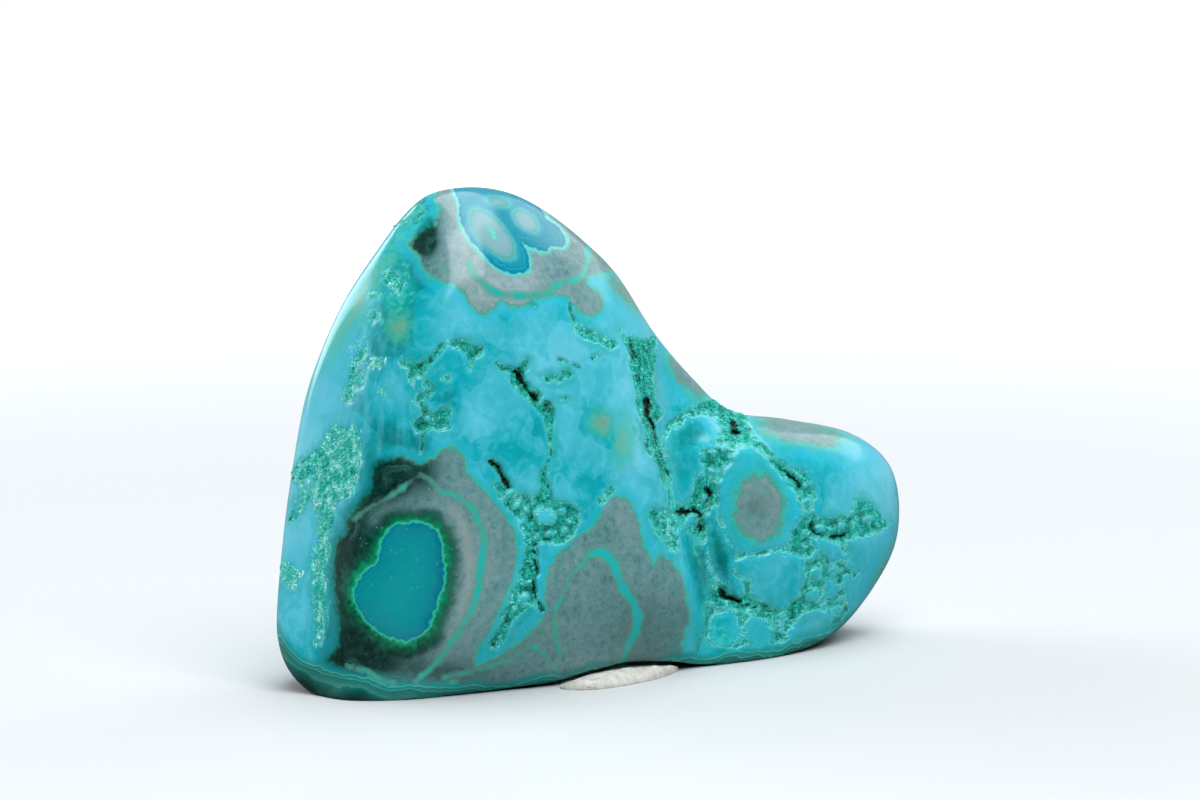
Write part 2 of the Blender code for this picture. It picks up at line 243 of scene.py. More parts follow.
# ---- The crevices and lumps ----------------------------------------------------------------------
# The copper minerals grew as grape-like lumps. Where they don't meet, crevices and pits are left below the
# polish, lined with sugary green crystals. In the foot at the right the lumps stand out of a crystal bed.

# Open patches of crystals: depth and paleness, then their outline on the sheet.
FRONT_PATCHES = (
    (0.5, 0.4, (39.7, 36.2), (41.2, 36.5), (42.4, 36.2), (43.0, 35.6), (43.6, 34.7), (44.8, 34.1),
     (46.0, 34.0), (47.2, 34.4), (48.4, 34.7), (48.3, 35.6), (47.4, 35.9), (47.2, 36.5), (46.9, 37.1),
     (46.5, 35.7), (45.4, 34.9), (44.4, 35.2), (43.7, 36.0), (43.2, 36.5), (42.3, 37.0), (40.6, 37.1)),
    (0.5, 0.4, (40.7, 36.8), (42.4, 36.9), (43.1, 38.0), (43.6, 39.2), (42.8, 39.8), (42.5, 40.7),
     (43.6, 41.0), (44.5, 40.7), (45.2, 41.0), (44.8, 41.9), (45.0, 42.7), (43.9, 43.1), (43.0, 42.8),
     (42.2, 43.4), (41.3, 43.1), (41.2, 42.4), (42.0, 41.6), (41.9, 40.7), (41.3, 40.1), (41.5, 39.2),
     (40.9, 38.0)),
    (0.15, 0.7, (44.5, 37.6), (45.2, 37.5), (45.4, 38.0), (44.7, 38.1)),
    (0.6, 0.3, (49.4, 36.0), (50.6, 36.5), (51.6, 36.6), (52.7, 35.7), (53.0, 36.6), (52.4, 37.3),
     (53.1, 38.4), (54.2, 39.3), (55.3, 40.4), (55.5, 41.6), (55.3, 43.0), (55.2, 44.6), (54.9, 46.6),
     (54.6, 48.6), (54.2, 48.2), (54.5, 46.2), (54.7, 44.4), (54.5, 43.0), (53.8, 41.6), (52.8, 40.2),
     (51.6, 39.0), (50.6, 37.7)),
    (0.12, 1.0, (34.8, 34.1), (35.5, 34.4), (36.3, 33.8), (36.6, 35.3), (37.6, 35.6), (38.7, 35.9),
     (38.4, 36.8), (37.3, 37.0), (36.7, 37.7), (36.1, 39.2), (35.2, 40.3), (34.3, 39.8), (34.5, 38.0),
     (35.1, 36.2), (35.2, 35.0)),
    (0.12, 0.9, (37.8, 38.6), (38.6, 38.9), (38.5, 39.8), (37.8, 39.5)),
    (0.16, 1.0, (32.6, 43.8), (33.7, 42.6), (35.4, 42.6), (36.1, 44.8), (35.8, 47.5), (35.2, 49.5),
     (34.0, 50.5), (33.3, 52.3), (32.9, 54.3), (32.6, 57.2), (32.8, 59.8), (32.6, 62.0), (31.8, 64.5),
     (31.2, 64.0), (31.4, 60.0), (31.2, 56.4), (31.7, 53.2), (31.3, 50.6), (30.4, 50.9), (29.0, 52.2),
     (29.2, 50.3), (30.2, 49.3), (29.2, 47.7), (30.2, 46.2), (31.5, 45.2)),
    (0.14, 1.0, (28.3, 56.5), (29.5, 56.4), (30.3, 57.5), (29.9, 58.8), (28.5, 58.4)),
    (0.1, 0.8, (38.5, 27.4), (39.6, 27.2), (40.6, 28.4), (40.3, 29.2), (39.1, 29.0), (38.4, 28.4)),
    (0.1, 0.8, (37.0, 29.0), (38.0, 29.2), (37.6, 29.9), (37.0, 29.8)),
    (0.1, 0.9, (36.9, 31.0), (37.9, 31.1), (37.7, 32.2), (37.0, 32.3)),
    (0.6, 0.5, (49.4, 48.2), (50.4, 48.4), (51.6, 49.2), (53.4, 49.5), (54.4, 48.6), (55.3, 50.0),
     (57.3, 50.5), (57.9, 51.8), (57.2, 53.6), (55.8, 54.6), (54.0, 54.2), (53.3, 55.6), (52.4, 54.4),
     (51.6, 52.2), (50.4, 50.2)),
    (0.65, 0.4, (52.4, 54.6), (53.8, 55.0), (53.5, 57.3), (53.9, 59.3), (54.2, 60.9), (53.2, 60.6),
     (52.2, 61.5), (51.2, 62.5), (50.1, 64.4), (48.8, 64.8), (49.7, 62.9), (50.4, 61.2), (51.1, 59.3),
     (52.0, 57.2)),
    (0.55, 0.3, (62.0, 32.6), (63.0, 33.4), (64.2, 34.0), (65.6, 33.4), (65.6, 35.2), (65.4, 37.0),
     (65.4, 39.3), (66.1, 41.4), (65.6, 42.4), (66.1, 44.3), (66.4, 45.6), (66.9, 46.8), (67.3, 49.6),
     (67.0, 50.8), (66.6, 48.8), (65.8, 47.2), (64.9, 46.0), (64.4, 44.3), (64.4, 42.4), (63.7, 40.5),
     (63.7, 39.0), (63.0, 36.8), (62.8, 34.9)),
    (0.55, 0.5, (65.0, 51.5), (66.0, 50.9), (67.0, 51.4), (67.8, 52.6), (67.7, 55.0), (66.6, 54.8),
     (65.8, 53.6)),
    (0.45, 0.35, (66.3, 44.6), (66.8, 42.4), (68.2, 41.2), (70.2, 40.4), (71.8, 40.1), (73.4, 40.8),
     (75.0, 41.6), (76.6, 43.6), (79.4, 45.8), (82.5, 48.0), (85.6, 49.4), (88.0, 51.6), (88.6, 53.6),
     (86.0, 58.4), (84.0, 62.2), (81.0, 63.6), (76.0, 64.4), (70.8, 64.4), (70.7, 61.0), (71.2, 58.6),
     (70.6, 55.5), (69.4, 53.6), (67.4, 51.5), (66.9, 48.0)),
    (0.35, 0.5, (57.2, 32.6), (58.4, 32.8), (59.6, 33.2), (61.0, 33.8), (62.0, 34.4), (61.4, 35.0),
     (60.0, 34.4), (58.4, 33.8)),
    (0.25, 0.5, (54.5, 37.5), (56.0, 37.2), (57.2, 36.6), (57.4, 37.4), (56.2, 38.1), (54.8, 38.2)),
    (0.25, 0.5, (59.6, 50.4), (60.6, 49.5), (61.6, 48.6), (61.5, 49.4), (60.4, 50.4)),
)

# Grooves and pits: half width, depth and paleness of the crystals, then the line they follow on the sheet.
FRONT_CREVICES = (
    (0.16, 0.45, 0.2, (39.2, 22.9), (40.4, 22.2), (41.6, 21.6), (42.4, 21.1)),
    (0.16, 0.8, 0.2, (42.4, 36.6), (43.4, 35.5), (44.6, 34.6)),
    (0.18, 0.8, 0.2, (46.6, 34.8), (47.4, 35.5), (48.2, 35.0)),
    (0.16, 0.8, 0.2, (42.4, 38.0), (42.9, 39.2)),
    (0.22, 0.7, 0.1, (49.6, 36.2), (50.6, 36.9), (51.4, 36.8)),
    (0.32, 1.5, 0.0, (51.3, 36.9), (51.9, 38.0), (52.6, 39.0), (53.4, 39.9)),
    (0.14, 0.9, 0.1, (53.4, 39.9), (54.3, 41.3), (54.8, 42.8), (54.9, 44.6)),
    (0.2, 0.9, 0.1, (54.9, 45.4), (54.6, 46.6), (54.1, 48.0)),
    (0.26, 0.7, 0.2, (54.2, 47.1), (54.7, 48.4), (55.1, 49.8)),
    (0.18, 0.4, 0.5, (52.6, 35.6), (52.8, 36.0)),
    (0.22, 0.4, 0.4, (56.0, 35.9), (56.6, 36.1)),
    (0.22, 0.4, 0.4, (57.5, 36.3), (58.0, 36.5)),
    (0.2, 0.4, 0.4, (59.3, 35.8), (60.1, 35.4)),
    (0.22, 0.35, 0.4, (55.9, 39.9), (56.6, 39.8)),
    (0.26, 0.8, 0.0, (43.6, 42.2), (44.4, 42.6)),
    (0.2, 1.1, 0.0, (42.1, 43.6), (42.1, 44.9), (41.9, 45.6)),
    (0.16, 0.5, 0.1, (28.9, 52.0), (29.3, 50.6), (30.2, 49.6)),
    (0.16, 0.6, 0.1, (29.4, 47.4), (30.8, 45.9)),
    (0.28, 1.3, 0.0, (49.0, 46.1), (49.6, 46.6), (50.2, 47.4), (50.9, 48.7)),
    (0.24, 0.9, 0.0, (50.0, 49.2), (51.0, 50.6), (52.0, 52.4), (52.8, 53.8)),
    (0.3, 1.3, 0.0, (53.3, 54.4), (53.4, 55.7), (53.7, 57.2)),
    (0.24, 1.2, 0.1, (53.4, 57.5), (53.5, 59.2), (54.1, 61.0)),
    (0.14, 0.35, 0.3, (59.7, 50.1), (60.2, 49.8), (61.3, 48.7)),
    (0.22, 0.6, 0.1, (53.4, 30.6), (53.6, 30.8)),
    (0.22, 0.7, 0.1, (57.0, 30.6), (57.2, 31.2), (57.5, 32.4)),
    (0.22, 0.7, 0.1, (58.6, 33.2), (59.6, 33.6), (60.8, 34.2)),
    (0.24, 1.0, 0.1, (63.0, 33.8), (63.6, 36.0), (63.9, 38.0)),
    (0.4, 1.7, 0.0, (64.7, 40.0), (64.9, 41.4), (65.1, 42.8)),
    (0.24, 1.3, 0.0, (65.2, 44.2), (66.0, 46.2), (66.8, 48.4), (67.0, 50.2)),
    (0.42, 1.4, 0.0, (67.6, 51.4), (68.4, 51.2), (69.4, 50.9)),
    (0.46, 1.3, 0.0, (69.4, 50.9), (69.9, 51.6), (70.0, 52.8)),
    (0.46, 1.3, 0.0, (70.6, 48.9), (70.9, 49.4)),
    (0.26, 0.9, 0.0, (71.0, 55.1), (71.0, 55.3)),
    (0.16, 0.5, 0.2, (69.9, 63.6), (69.6, 65.4)),
    (0.28, 0.5, 0.1, (71.1, 40.3), (71.3, 40.4)),
    (0.52, 1.5, 0.0, (73.1, 42.4), (73.4, 43.2)),
    (0.22, 0.9, 0.0, (74.2, 41.8), (74.6, 43.6), (75.5, 44.6)),
    (0.26, 1.2, 0.0, (75.3, 44.7), (76.7, 45.8), (78.1, 46.9), (79.7, 48.1)),
    (0.32, 1.0, 0.0, (79.5, 47.9), (80.0, 48.8)),
    (0.22, 1.2, 0.0, (79.9, 48.8), (80.4, 50.6), (81.2, 52.4)),
    (0.34, 1.4, 0.0, (81.2, 52.4), (81.7, 53.3), (83.2, 53.6), (84.4, 53.6)),
    (0.18, 0.7, 0.1, (84.6, 53.4), (86.3, 52.7), (87.8, 52.6)),
    (0.28, 0.9, 0.0, (72.2, 45.7), (72.5, 46.1)),
    (0.22, 0.8, 0.0, (70.9, 46.9), (71.2, 47.2)),
    (0.22, 0.7, 0.0, (70.2, 45.0), (70.4, 46.0)),
    (0.36, 1.5, 0.0, (71.9, 58.6), (72.2, 59.9), (73.8, 60.2)),
    (0.22, 1.2, 0.0, (74.4, 60.4), (76.7, 61.1), (78.7, 61.0), (80.2, 59.8), (80.6, 58.6)),
    (0.18, 0.7, 0.1, (80.6, 58.6), (82.0, 58.1), (82.4, 57.8)),
    (0.2, 1.1, 0.0, (77.0, 61.8), (77.6, 63.5)),
    (0.2, 1.1, 0.0, (79.2, 61.8), (78.5, 63.5)),
    (0.34, 0.6, 0.1, (85.0, 55.6), (85.1, 55.8)),
    (0.16, 0.4, 0.1, (75.3, 63.8), (75.4, 63.9)),
)

# Grape-like lumps that stay whole: how far they stand out, then their outline on the sheet.
FRONT_LUMPS = (
    (0.25, (66.3, 44.2), (66.9, 43.1), (68.0, 42.4), (68.6, 41.6), (70.2, 41.4), (71.6, 41.7), (71.9, 43.0),
     (71.7, 44.5), (71.1, 45.2), (70.4, 45.0), (70.2, 45.8), (70.4, 47.0), (69.7, 47.6), (69.5, 48.9),
     (68.9, 50.0), (68.0, 50.6), (67.2, 50.1), (66.9, 48.6), (66.7, 47.0), (66.4, 45.5)),
    (0.3, (73.1, 45.3), (73.7, 44.7), (74.7, 44.5), (75.6, 44.7), (76.4, 45.3), (77.2, 46.2), (77.9, 47.0),
     (78.6, 48.0), (79.3, 48.7), (80.0, 49.7), (80.3, 50.8), (80.2, 51.7), (79.8, 52.2), (79.3, 53.2),
     (79.2, 54.2), (78.4, 54.8), (77.2, 55.0), (76.1, 55.3), (74.8, 55.4), (73.7, 55.3), (73.1, 54.5),
     (72.5, 53.2), (72.1, 52.0), (71.9, 50.8), (71.8, 49.5), (72.0, 48.3), (72.3, 47.3), (72.8, 46.2)),
    (0.1, (70.9, 50.8), (71.7, 50.3), (72.0, 51.7), (72.5, 53.2), (73.1, 54.6), (73.6, 55.7), (73.7, 57.3),
     (74.0, 57.9), (74.4, 58.7), (73.9, 59.5), (73.1, 59.3), (72.3, 58.5), (71.7, 57.9), (71.1, 56.7),
     (70.6, 55.4), (70.5, 53.9), (70.5, 52.3)),
    (0.3, (73.7, 55.7), (74.8, 55.4), (76.1, 55.4), (77.0, 55.1), (77.9, 55.0), (78.7, 55.2), (79.5, 55.4),
     (80.3, 55.9), (80.6, 56.7), (80.5, 57.9), (80.1, 59.2), (79.5, 60.1), (78.7, 60.9), (77.8, 61.0),
     (76.8, 60.6), (76.1, 60.1), (75.1, 59.8), (74.7, 58.8), (75.0, 58.2), (73.9, 57.6), (73.4, 56.7)),
    (0.25, (71.1, 61.6), (72.0, 61.2), (73.6, 61.2), (74.0, 62.0), (74.0, 63.2), (73.7, 64.6), (72.0, 64.8),
     (70.8, 64.0), (70.8, 62.6)),
    (0.25, (74.5, 61.8), (75.4, 61.5), (76.5, 61.8), (77.2, 62.9), (77.2, 64.1), (76.4, 64.9), (75.0, 64.8),
     (74.3, 63.4)),
    (0.25, (79.2, 62.6), (80.1, 61.3), (81.7, 60.9), (82.9, 61.0), (83.5, 61.6), (83.2, 62.9), (81.4, 64.0),
     (79.8, 64.2), (78.6, 63.8)),
    (0.2, (77.7, 61.8), (78.6, 61.8), (78.3, 63.0), (77.9, 63.0)),
    (0.3, (80.8, 59.0), (81.6, 58.9), (82.1, 59.6), (81.6, 60.3), (80.8, 60.0)),
    (0.3, (82.4, 58.1), (83.4, 57.8), (84.1, 58.7), (83.7, 59.8), (82.7, 59.8)),
    (0.25, (84.3, 57.4), (85.4, 57.6), (85.6, 58.9), (84.9, 60.0), (84.3, 59.0)),
    (0.25, (80.9, 57.0), (81.6, 56.6), (82.3, 57.0), (82.0, 57.8), (81.2, 57.9)),
    (0.25, (82.6, 56.7), (83.3, 56.6), (83.6, 57.3), (82.9, 57.6)),
    (0.2, (83.2, 60.6), (84.2, 60.5), (84.3, 61.2), (83.4, 61.4)),
    (0.2, (82.0, 60.2), (82.7, 60.1), (82.8, 60.7), (82.1, 60.8)),
    (0.3, (81.2, 53.9), (82.3, 53.6), (83.5, 54.2), (84.5, 55.1), (84.4, 56.0), (83.7, 56.4), (82.9, 56.2),
     (82.1, 55.4), (81.3, 54.8)),
    (0.25, (84.8, 54.2), (86.0, 53.6), (87.9, 52.9), (90.2, 51.8), (91.4, 54.0), (89.6, 57.4), (87.6, 60.4),
     (85.4, 61.4), (84.5, 60.4), (84.5, 58.5), (85.7, 57.4), (84.5, 56.7), (84.8, 55.4)),
    (0.15, (74.7, 42.0), (75.4, 43.6), (76.4, 44.7), (77.2, 45.5), (78.2, 46.2), (79.2, 47.0), (80.4, 47.0),
     (80.9, 48.3), (81.4, 49.5), (81.2, 51.1), (81.7, 51.7), (82.9, 52.0), (84.2, 51.8), (85.2, 51.4),
     (85.5, 50.1), (85.9, 48.6), (85.9, 47.0), (86.3, 45.8), (86.6, 44.6), (87.6, 43.6), (86.0, 41.4),
     (82.0, 39.6), (78.0, 39.0), (75.4, 39.6)),
    (0.0, (53.7, 51.2), (54.6, 50.8), (55.3, 51.3), (55.4, 52.2), (54.6, 52.6), (53.8, 52.2)),
    (0.0, (51.8, 59.7), (52.4, 59.4), (52.8, 60.0), (52.5, 60.6), (51.9, 60.3)),
    (0.0, (51.1, 60.7), (51.6, 60.5), (51.8, 61.0), (51.3, 61.2)),
    (0.25, (68.8, 51.9), (69.4, 51.5), (69.9, 52.0), (69.6, 52.7), (68.9, 52.6)),
    (0.0, (29.4, 50.2), (30.0, 48.8), (30.9, 48.0), (31.1, 48.6), (30.3, 49.6), (29.6, 50.5)),
    (0.0, (35.8, 36.4), (36.6, 36.2), (36.9, 37.0), (36.1, 37.3)),
    (0.0, (41.2, 38.0), (42.0, 37.8), (42.5, 38.4), (42.1, 39.2), (41.3, 39.2)),
)

# Small round beads of crystals among the lumps: right, down, radius and how far they stand out.
FRONT_BEADS = (
    (50.9, 49.2, 0.35, 0.1), (51.6, 50.5, 0.4, 0.1), (50.4, 49.7, 0.25, 0.05), (52.5, 51.1, 0.35, 0.1),
    (52.1, 52.4, 0.35, 0.05), (53.0, 49.8, 0.3, 0.05), (56.2, 51.2, 0.35, 0.1), (57.0, 52.2, 0.3, 0.05),
    (56.4, 53.1, 0.35, 0.05), (55.1, 53.5, 0.35, 0.05), (53.6, 53.7, 0.3, 0.05), (53.0, 58.2, 0.28, 0.0),
    (43.7, 38.1, 0.5, 0.05), (42.6, 41.9, 0.3, 0.05), (52.6, 37.9, 0.3, 0.0), (54.1, 39.9, 0.25, 0.05),
    (66.2, 52.2, 0.3, 0.1), (66.9, 53.2, 0.35, 0.1), (67.5, 51.9, 0.25, 0.05), (66.6, 54.2, 0.3, 0.1),
    (70.4, 45.7, 0.3, 0.2), (71.2, 47.1, 0.35, 0.15), (72.4, 44.6, 0.4, 0.25), (71.6, 48.3, 0.25, 0.1),
    (70.1, 47.4, 0.3, 0.2), (70.3, 49.8, 0.35, 0.2), (68.2, 53.6, 0.4, 0.2), (69.2, 54.4, 0.35, 0.2),
    (70.0, 55.4, 0.35, 0.2), (71.4, 60.6, 0.35, 0.2), (70.7, 59.4, 0.3, 0.2), (72.6, 60.9, 0.25, 0.15),
    (79.9, 47.5, 0.3, 0.2), (80.5, 48.6, 0.3, 0.15), (80.7, 50.0, 0.35, 0.25), (80.7, 51.3, 0.3, 0.2),
    (81.9, 52.6, 0.35, 0.2), (82.9, 52.8, 0.35, 0.25), (84.2, 52.7, 0.4, 0.25), (85.4, 52.4, 0.35, 0.2),
    (86.6, 51.8, 0.35, 0.2), (80.7, 53.4, 0.35, 0.25), (80.5, 54.7, 0.35, 0.25), (81.5, 55.8, 0.45, 0.25),
    (83.6, 56.9, 0.35, 0.2), (80.9, 56.2, 0.3, 0.2), (82.0, 61.4, 0.3, 0.15), (84.9, 60.3, 0.35, 0.2),
    (80.4, 61.0, 0.3, 0.15), (78.2, 61.7, 0.4, 0.2), (75.9, 61.0, 0.3, 0.1), (74.3, 61.4, 0.3, 0.15),
    (77.9, 64.2, 0.3, 0.15), (83.8, 59.9, 0.3, 0.2),
)

# The back's patches, crevices, lumps and beads, given as the front's are.
BACK_PATCHES = (
    (0.45, 0.6, (35.6, 53.5), (37.6, 54.5), (37.8, 57.5), (36.4, 59.5), (34.8, 58.0), (34.6, 55.5)),
    (0.5, 0.5, (52.0, 59.6), (55.0, 60.4), (58.5, 60.0), (60.6, 59.2), (60.0, 61.2), (57.0, 62.6),
     (53.0, 61.4)),
    (0.4, 0.8, (65.0, 40.5), (66.6, 41.5), (67.2, 43.6), (66.0, 44.4), (64.6, 42.8)),
    (0.45, 0.4, (38.5, 40.4), (40.2, 41.2), (42.0, 43.6), (43.2, 46.2), (45.8, 46.9), (48.0, 49.2),
     (49.4, 52.2), (48.4, 55.6), (47.4, 54.4), (47.8, 52.0), (46.2, 49.4), (43.2, 48.0), (41.2, 45.2),
     (40.0, 43.0)),
    (0.5, 0.4, (59.4, 34.6), (60.8, 35.4), (61.6, 38.8), (64.0, 42.4), (63.8, 46.4), (66.6, 50.0),
     (68.2, 54.8), (67.0, 56.6), (65.6, 53.0), (62.4, 48.6), (62.0, 44.6), (60.0, 41.0), (59.4, 37.6)),
    (0.35, 0.4, (73.4, 46.6), (76.8, 48.8), (79.4, 52.0), (83.6, 54.2), (82.6, 56.0), (79.0, 55.6),
     (78.6, 60.6), (77.0, 60.4), (77.4, 55.2), (75.2, 50.8)),
)
BACK_CREVICES = (
    (0.2, 0.9, 0.1, (41.2, 43.6), (42.6, 46.6), (46.0, 48.2)),
    (0.26, 1.2, 0.0, (47.4, 49.6), (48.2, 51.2), (48.0, 53.6)),
    (0.28, 1.2, 0.0, (60.4, 37.0), (60.8, 39.4), (62.0, 41.6)),
    (0.22, 1.1, 0.0, (63.2, 43.6), (62.9, 47.0), (65.0, 50.2)),
    (0.5, 0.4, 0.6, (46.5, 30.0), (49.0, 32.0), (52.0, 31.0)),
    (0.24, 0.9, 0.0, (75.4, 48.6), (77.0, 50.0), (78.6, 53.2)),
    (0.2, 0.8, 0.1, (77.9, 56.5), (78.0, 59.5)),
    (0.5, 0.8, 0.3, (44.3, 36.8), (44.8, 37.3)),
    (0.5, 1.2, 0.0, (69.8, 44.9), (70.2, 45.2)),
    (0.4, 0.9, 0.1, (55.9, 42.8), (56.2, 43.2)),
    (0.45, 0.9, 0.2, (72.8, 57.8), (73.2, 58.2)),
    (0.28, 0.5, 0.3, (53.0, 36.5), (55.0, 37.5), (56.0, 39.5)),
)
BACK_LUMPS = (
    (0.0, (36.0, 56.0), (36.8, 56.2), (36.7, 57.1), (35.9, 57.0)),
    (0.0, (56.6, 60.8), (57.5, 60.6), (57.8, 61.4), (56.9, 61.8)),
    (0.4, (69.5, 47.0), (73.0, 47.6), (75.4, 51.6), (76.6, 55.6), (74.4, 58.0), (70.6, 57.0), (68.4, 53.0),
     (67.6, 49.6)),
    (0.35, (49.6, 47.6), (54.6, 45.4), (59.6, 46.6), (61.4, 50.6), (59.0, 54.4), (53.4, 55.0),
     (50.0, 52.0)),
    (0.3, (41.0, 51.6), (45.0, 50.8), (47.0, 54.0), (46.6, 58.6), (42.6, 60.6), (39.4, 57.6), (39.0, 54.0)),
)
BACK_BEADS = (
    (36.2, 55.2, 0.4, 0.1), (36.6, 58.0, 0.35, 0.1), (54.0, 60.6, 0.4, 0.1), (58.6, 61.0, 0.45, 0.15),
    (65.6, 41.8, 0.35, 0.1), (66.4, 43.2, 0.35, 0.1), (47.0, 49.0, 0.4, 0.15), (48.4, 53.4, 0.35, 0.1),
    (41.6, 44.6, 0.4, 0.15), (60.4, 38.8, 0.4, 0.15), (63.0, 44.8, 0.45, 0.15), (67.4, 54.0, 0.4, 0.15),
    (76.0, 49.2, 0.35, 0.15), (78.2, 52.6, 0.4, 0.15), (80.6, 54.9, 0.35, 0.1),
)

# How outlines are bent: how far, over what pitch, and a step from the seed of each direction's noise.
BENDS = ((0.30, 2.4, 0), (0.12, 0.8, 1))
BEND_SEEDS = (11, 13)

# Nubs along the edges: pitch, radius as a share of it, how firmly they push into a crevice, and seed.
NUBS = ((1.7, 0.42, 1.0, 15), (0.8, 0.42, 1.6, 16))
PATCH_FIRMNESS = 1.2
LEAST_NUB = 0.8
LUMP_NUB = 0.30

# How lumps and beads round over, and where each edge's slope starts and ends, in millimetres inside it.
LUMP_SHRINK = 0.10
LUMP_ROUND = 0.9
BEAD_ROUND = 0.35
CREVICE_SLOPE = (-0.05, 0.30)
LUMP_SLOPE = (-0.10, 0.25)
BEAD_SLOPE = (-0.05, 0.20)
FAR_OUTSIDE = -50.0

# Grapes on the floors of the crevices, which come up between these depths, and how rough the floors are.
KNOB_PITCH = 1.1
KNOB_RADIUS = 0.6
KNOB_RISE = 0.28
KNOB_SEED = 17
KNOB_DEPTHS = (0.1, 0.5)
ROUGHNESS = 0.08
ROUGH_SEED = 7
ROUGH_FROM = (0.0, 0.3)
LATTICE = 64


def held_at(lattice, cell):
    """What a lattice holds at each cell, when it repeats every LATTICE cells."""
    return lattice[tuple(np.moveaxis(cell % LATTICE, -1, 0))]


def drifts(place, pitch, seed):
    """Smooth noise from -1 to 1: chance heights on a lattice, `pitch` apart, blended by t^2 (3 - 2 t)."""
    heights = np.random.default_rng(seed).uniform(-1, 1, (LATTICE,) * 3)
    at = place / pitch
    corner = np.floor(at).astype(int)
    t = at - corner
    t = t * t * (3 - 2 * t)
    total = np.zeros(place.shape[:-1])
    for step in np.ndindex(2, 2, 2):
        share = np.prod(np.where(step, t, 1 - t), -1)
        total += share * held_at(heights, corner + step)
    return total


def knobs(place, pitch, seed):
    """Distance to the nearest of a jittered lattice of points, over their pitch."""
    jitter = np.random.default_rng(seed).uniform(0, 1, (LATTICE, LATTICE, LATTICE, 3))
    at = place / pitch
    corner = np.floor(at).astype(int)
    nearest = np.full(place.shape[:-1], np.inf)
    for step in np.ndindex(3, 3, 3):
        cell = corner + step - 1
        middle = cell + held_at(jitter, cell)
        nearest = np.minimum(nearest, np.linalg.norm(at - middle, axis=-1))
    return nearest


def distance_to_line(sheet, points):
    """How far each place on the sheet is from a line: the least of its distances to the line's runs."""
    nearest = np.full(sheet.shape[:-1], np.inf)
    points = np.asarray(points, float)
    for start, end in zip(points[:-1], points[1:]):
        run = end - start
        along = np.clip((sheet - start) @ run / (run @ run), 0, 1)
        gap = sheet - start - along[..., None] * run
        nearest = np.minimum(nearest, np.hypot(gap[..., 0], gap[..., 1]))
    return nearest


def inside(sheet, points, steps=4):
    """Millimetres inside a smooth closed outline, less than 0 outside it.

    It is the distance to the outline's nearest run, and its sign is by whether a ray to the right crosses
    the outline an odd number of times.
    """
    outline = smooth_curve(points, steps)
    outline = np.vstack([outline, outline[:1]])
    across, down = sheet[..., 0], sheet[..., 1]
    odd = np.zeros(across.shape, bool)
    for (x0, y0), (x1, y1) in zip(outline[:-1], outline[1:]):
        if y0 != y1:
            odd ^= ((y0 > down) != (y1 > down)) & (across < x0 + (x1 - x0) * (down - y0) / (y1 - y0))
    return np.where(odd, 1, -1) * distance_to_line(sheet, outline)


def smooth_step(low, high, value):
    """0 below low, 1 above high, and t^2 (3 - 2 t) between them."""
    t = ((value - low) / (high - low)).clip(0, 1)
    return t * t * (3 - 2 * t)


def carved(sheet, place, crevices, patches, lumps, beads):
    """What lies below the polish, where the unbroken surface would be at `place`.

    Returns the carving (mm below the polished faces), how far inside a crevice or patch the place is, and
    how pale its crystals are. Outlines are bent by slow noise, and round nubs push into them from the edge:
    what is inside is the least of the reach and, for each size of nub, the distance outside the nubs plus
    some of the reach. A floor lies at its depth times a smooth step of the distance inside it, under grapes
    h sqrt(1 - r^2). A lump, with the nubs along its edge, stands out by its height times
    sqrt(1 - (1 - d / w)^2), for d inside its outline. A bead stands out in the same way.
    """
    bend = [
        sum(reach * drifts(place, pitch, seed + step) for reach, pitch, step in BENDS) for seed in BEND_SEEDS
    ]
    wavy = sheet + np.stack(bend, -1)
    nubs = [((knobs(place, pitch, seed) - radius) * pitch, share) for pitch, radius, share, seed in NUBS]
    within = np.full(sheet.shape[:-1], FAR_OUTSIDE)
    cut, pale, rise = np.zeros((3, *sheet.shape[:-1]))
    shapes = [
        (inside(wavy, outline), PATCH_FIRMNESS, depth, paleness) for depth, paleness, *outline in patches
    ]
    shapes += [
        (half_width - distance_to_line(wavy, line), LEAST_NUB / half_width, depth, paleness)
        for half_width, depth, paleness, *line in crevices
    ]
    for reach, firmness, depth, paleness in shapes:
        reach = np.min([reach] + [out + firmness * share * reach for out, share in nubs], 0)
        pale = np.where(reach > within, paleness, pale)
        within = np.maximum(within, reach)
        cut = np.maximum(cut, depth * smooth_step(*CREVICE_SLOPE, reach))
    standing = []
    for height, *outline in lumps:
        into = inside(sheet + (wavy - sheet) / 2, outline) - LUMP_SHRINK
        into = np.max([into] + [np.minimum(-out, into + LUMP_NUB) for out, _ in nubs], 0)
        standing.append((into, height, LUMP_ROUND, LUMP_SLOPE))
    for right, down, radius, height in beads:
        into = radius - np.hypot(wavy[..., 0] - right, wavy[..., 1] - down)
        standing.append((into, height, BEAD_ROUND, BEAD_SLOPE))
    for into, height, roundness, slope in standing:
        within = np.minimum(within, -into)
        cut = cut * smooth_step(*slope, -into)
        rise = np.maximum(rise, height * np.sqrt(1 - (1 - into / roundness).clip(0, 1) ** 2))
    well_in = smooth_step(*ROUGH_FROM, within)
    rough = ROUGHNESS * np.random.default_rng(ROUGH_SEED).normal(size=cut.shape) * well_in
    grape = np.sqrt((1 - (knobs(place, KNOB_PITCH, KNOB_SEED) / KNOB_RADIUS) ** 2).clip(0))
    grape = KNOB_RISE * grape * smooth_step(*KNOB_DEPTHS, cut) * well_in
    return cut + rough - grape - rise, within, pale


# ---- The colour bands ----------------------------------------------------------------------------
# The polish cuts through round growths of malachite, which show as grey-green eyes ringed with thin green
# and blue bands. Each is an outline, and the stone carries how far each place of its surface is inside it.

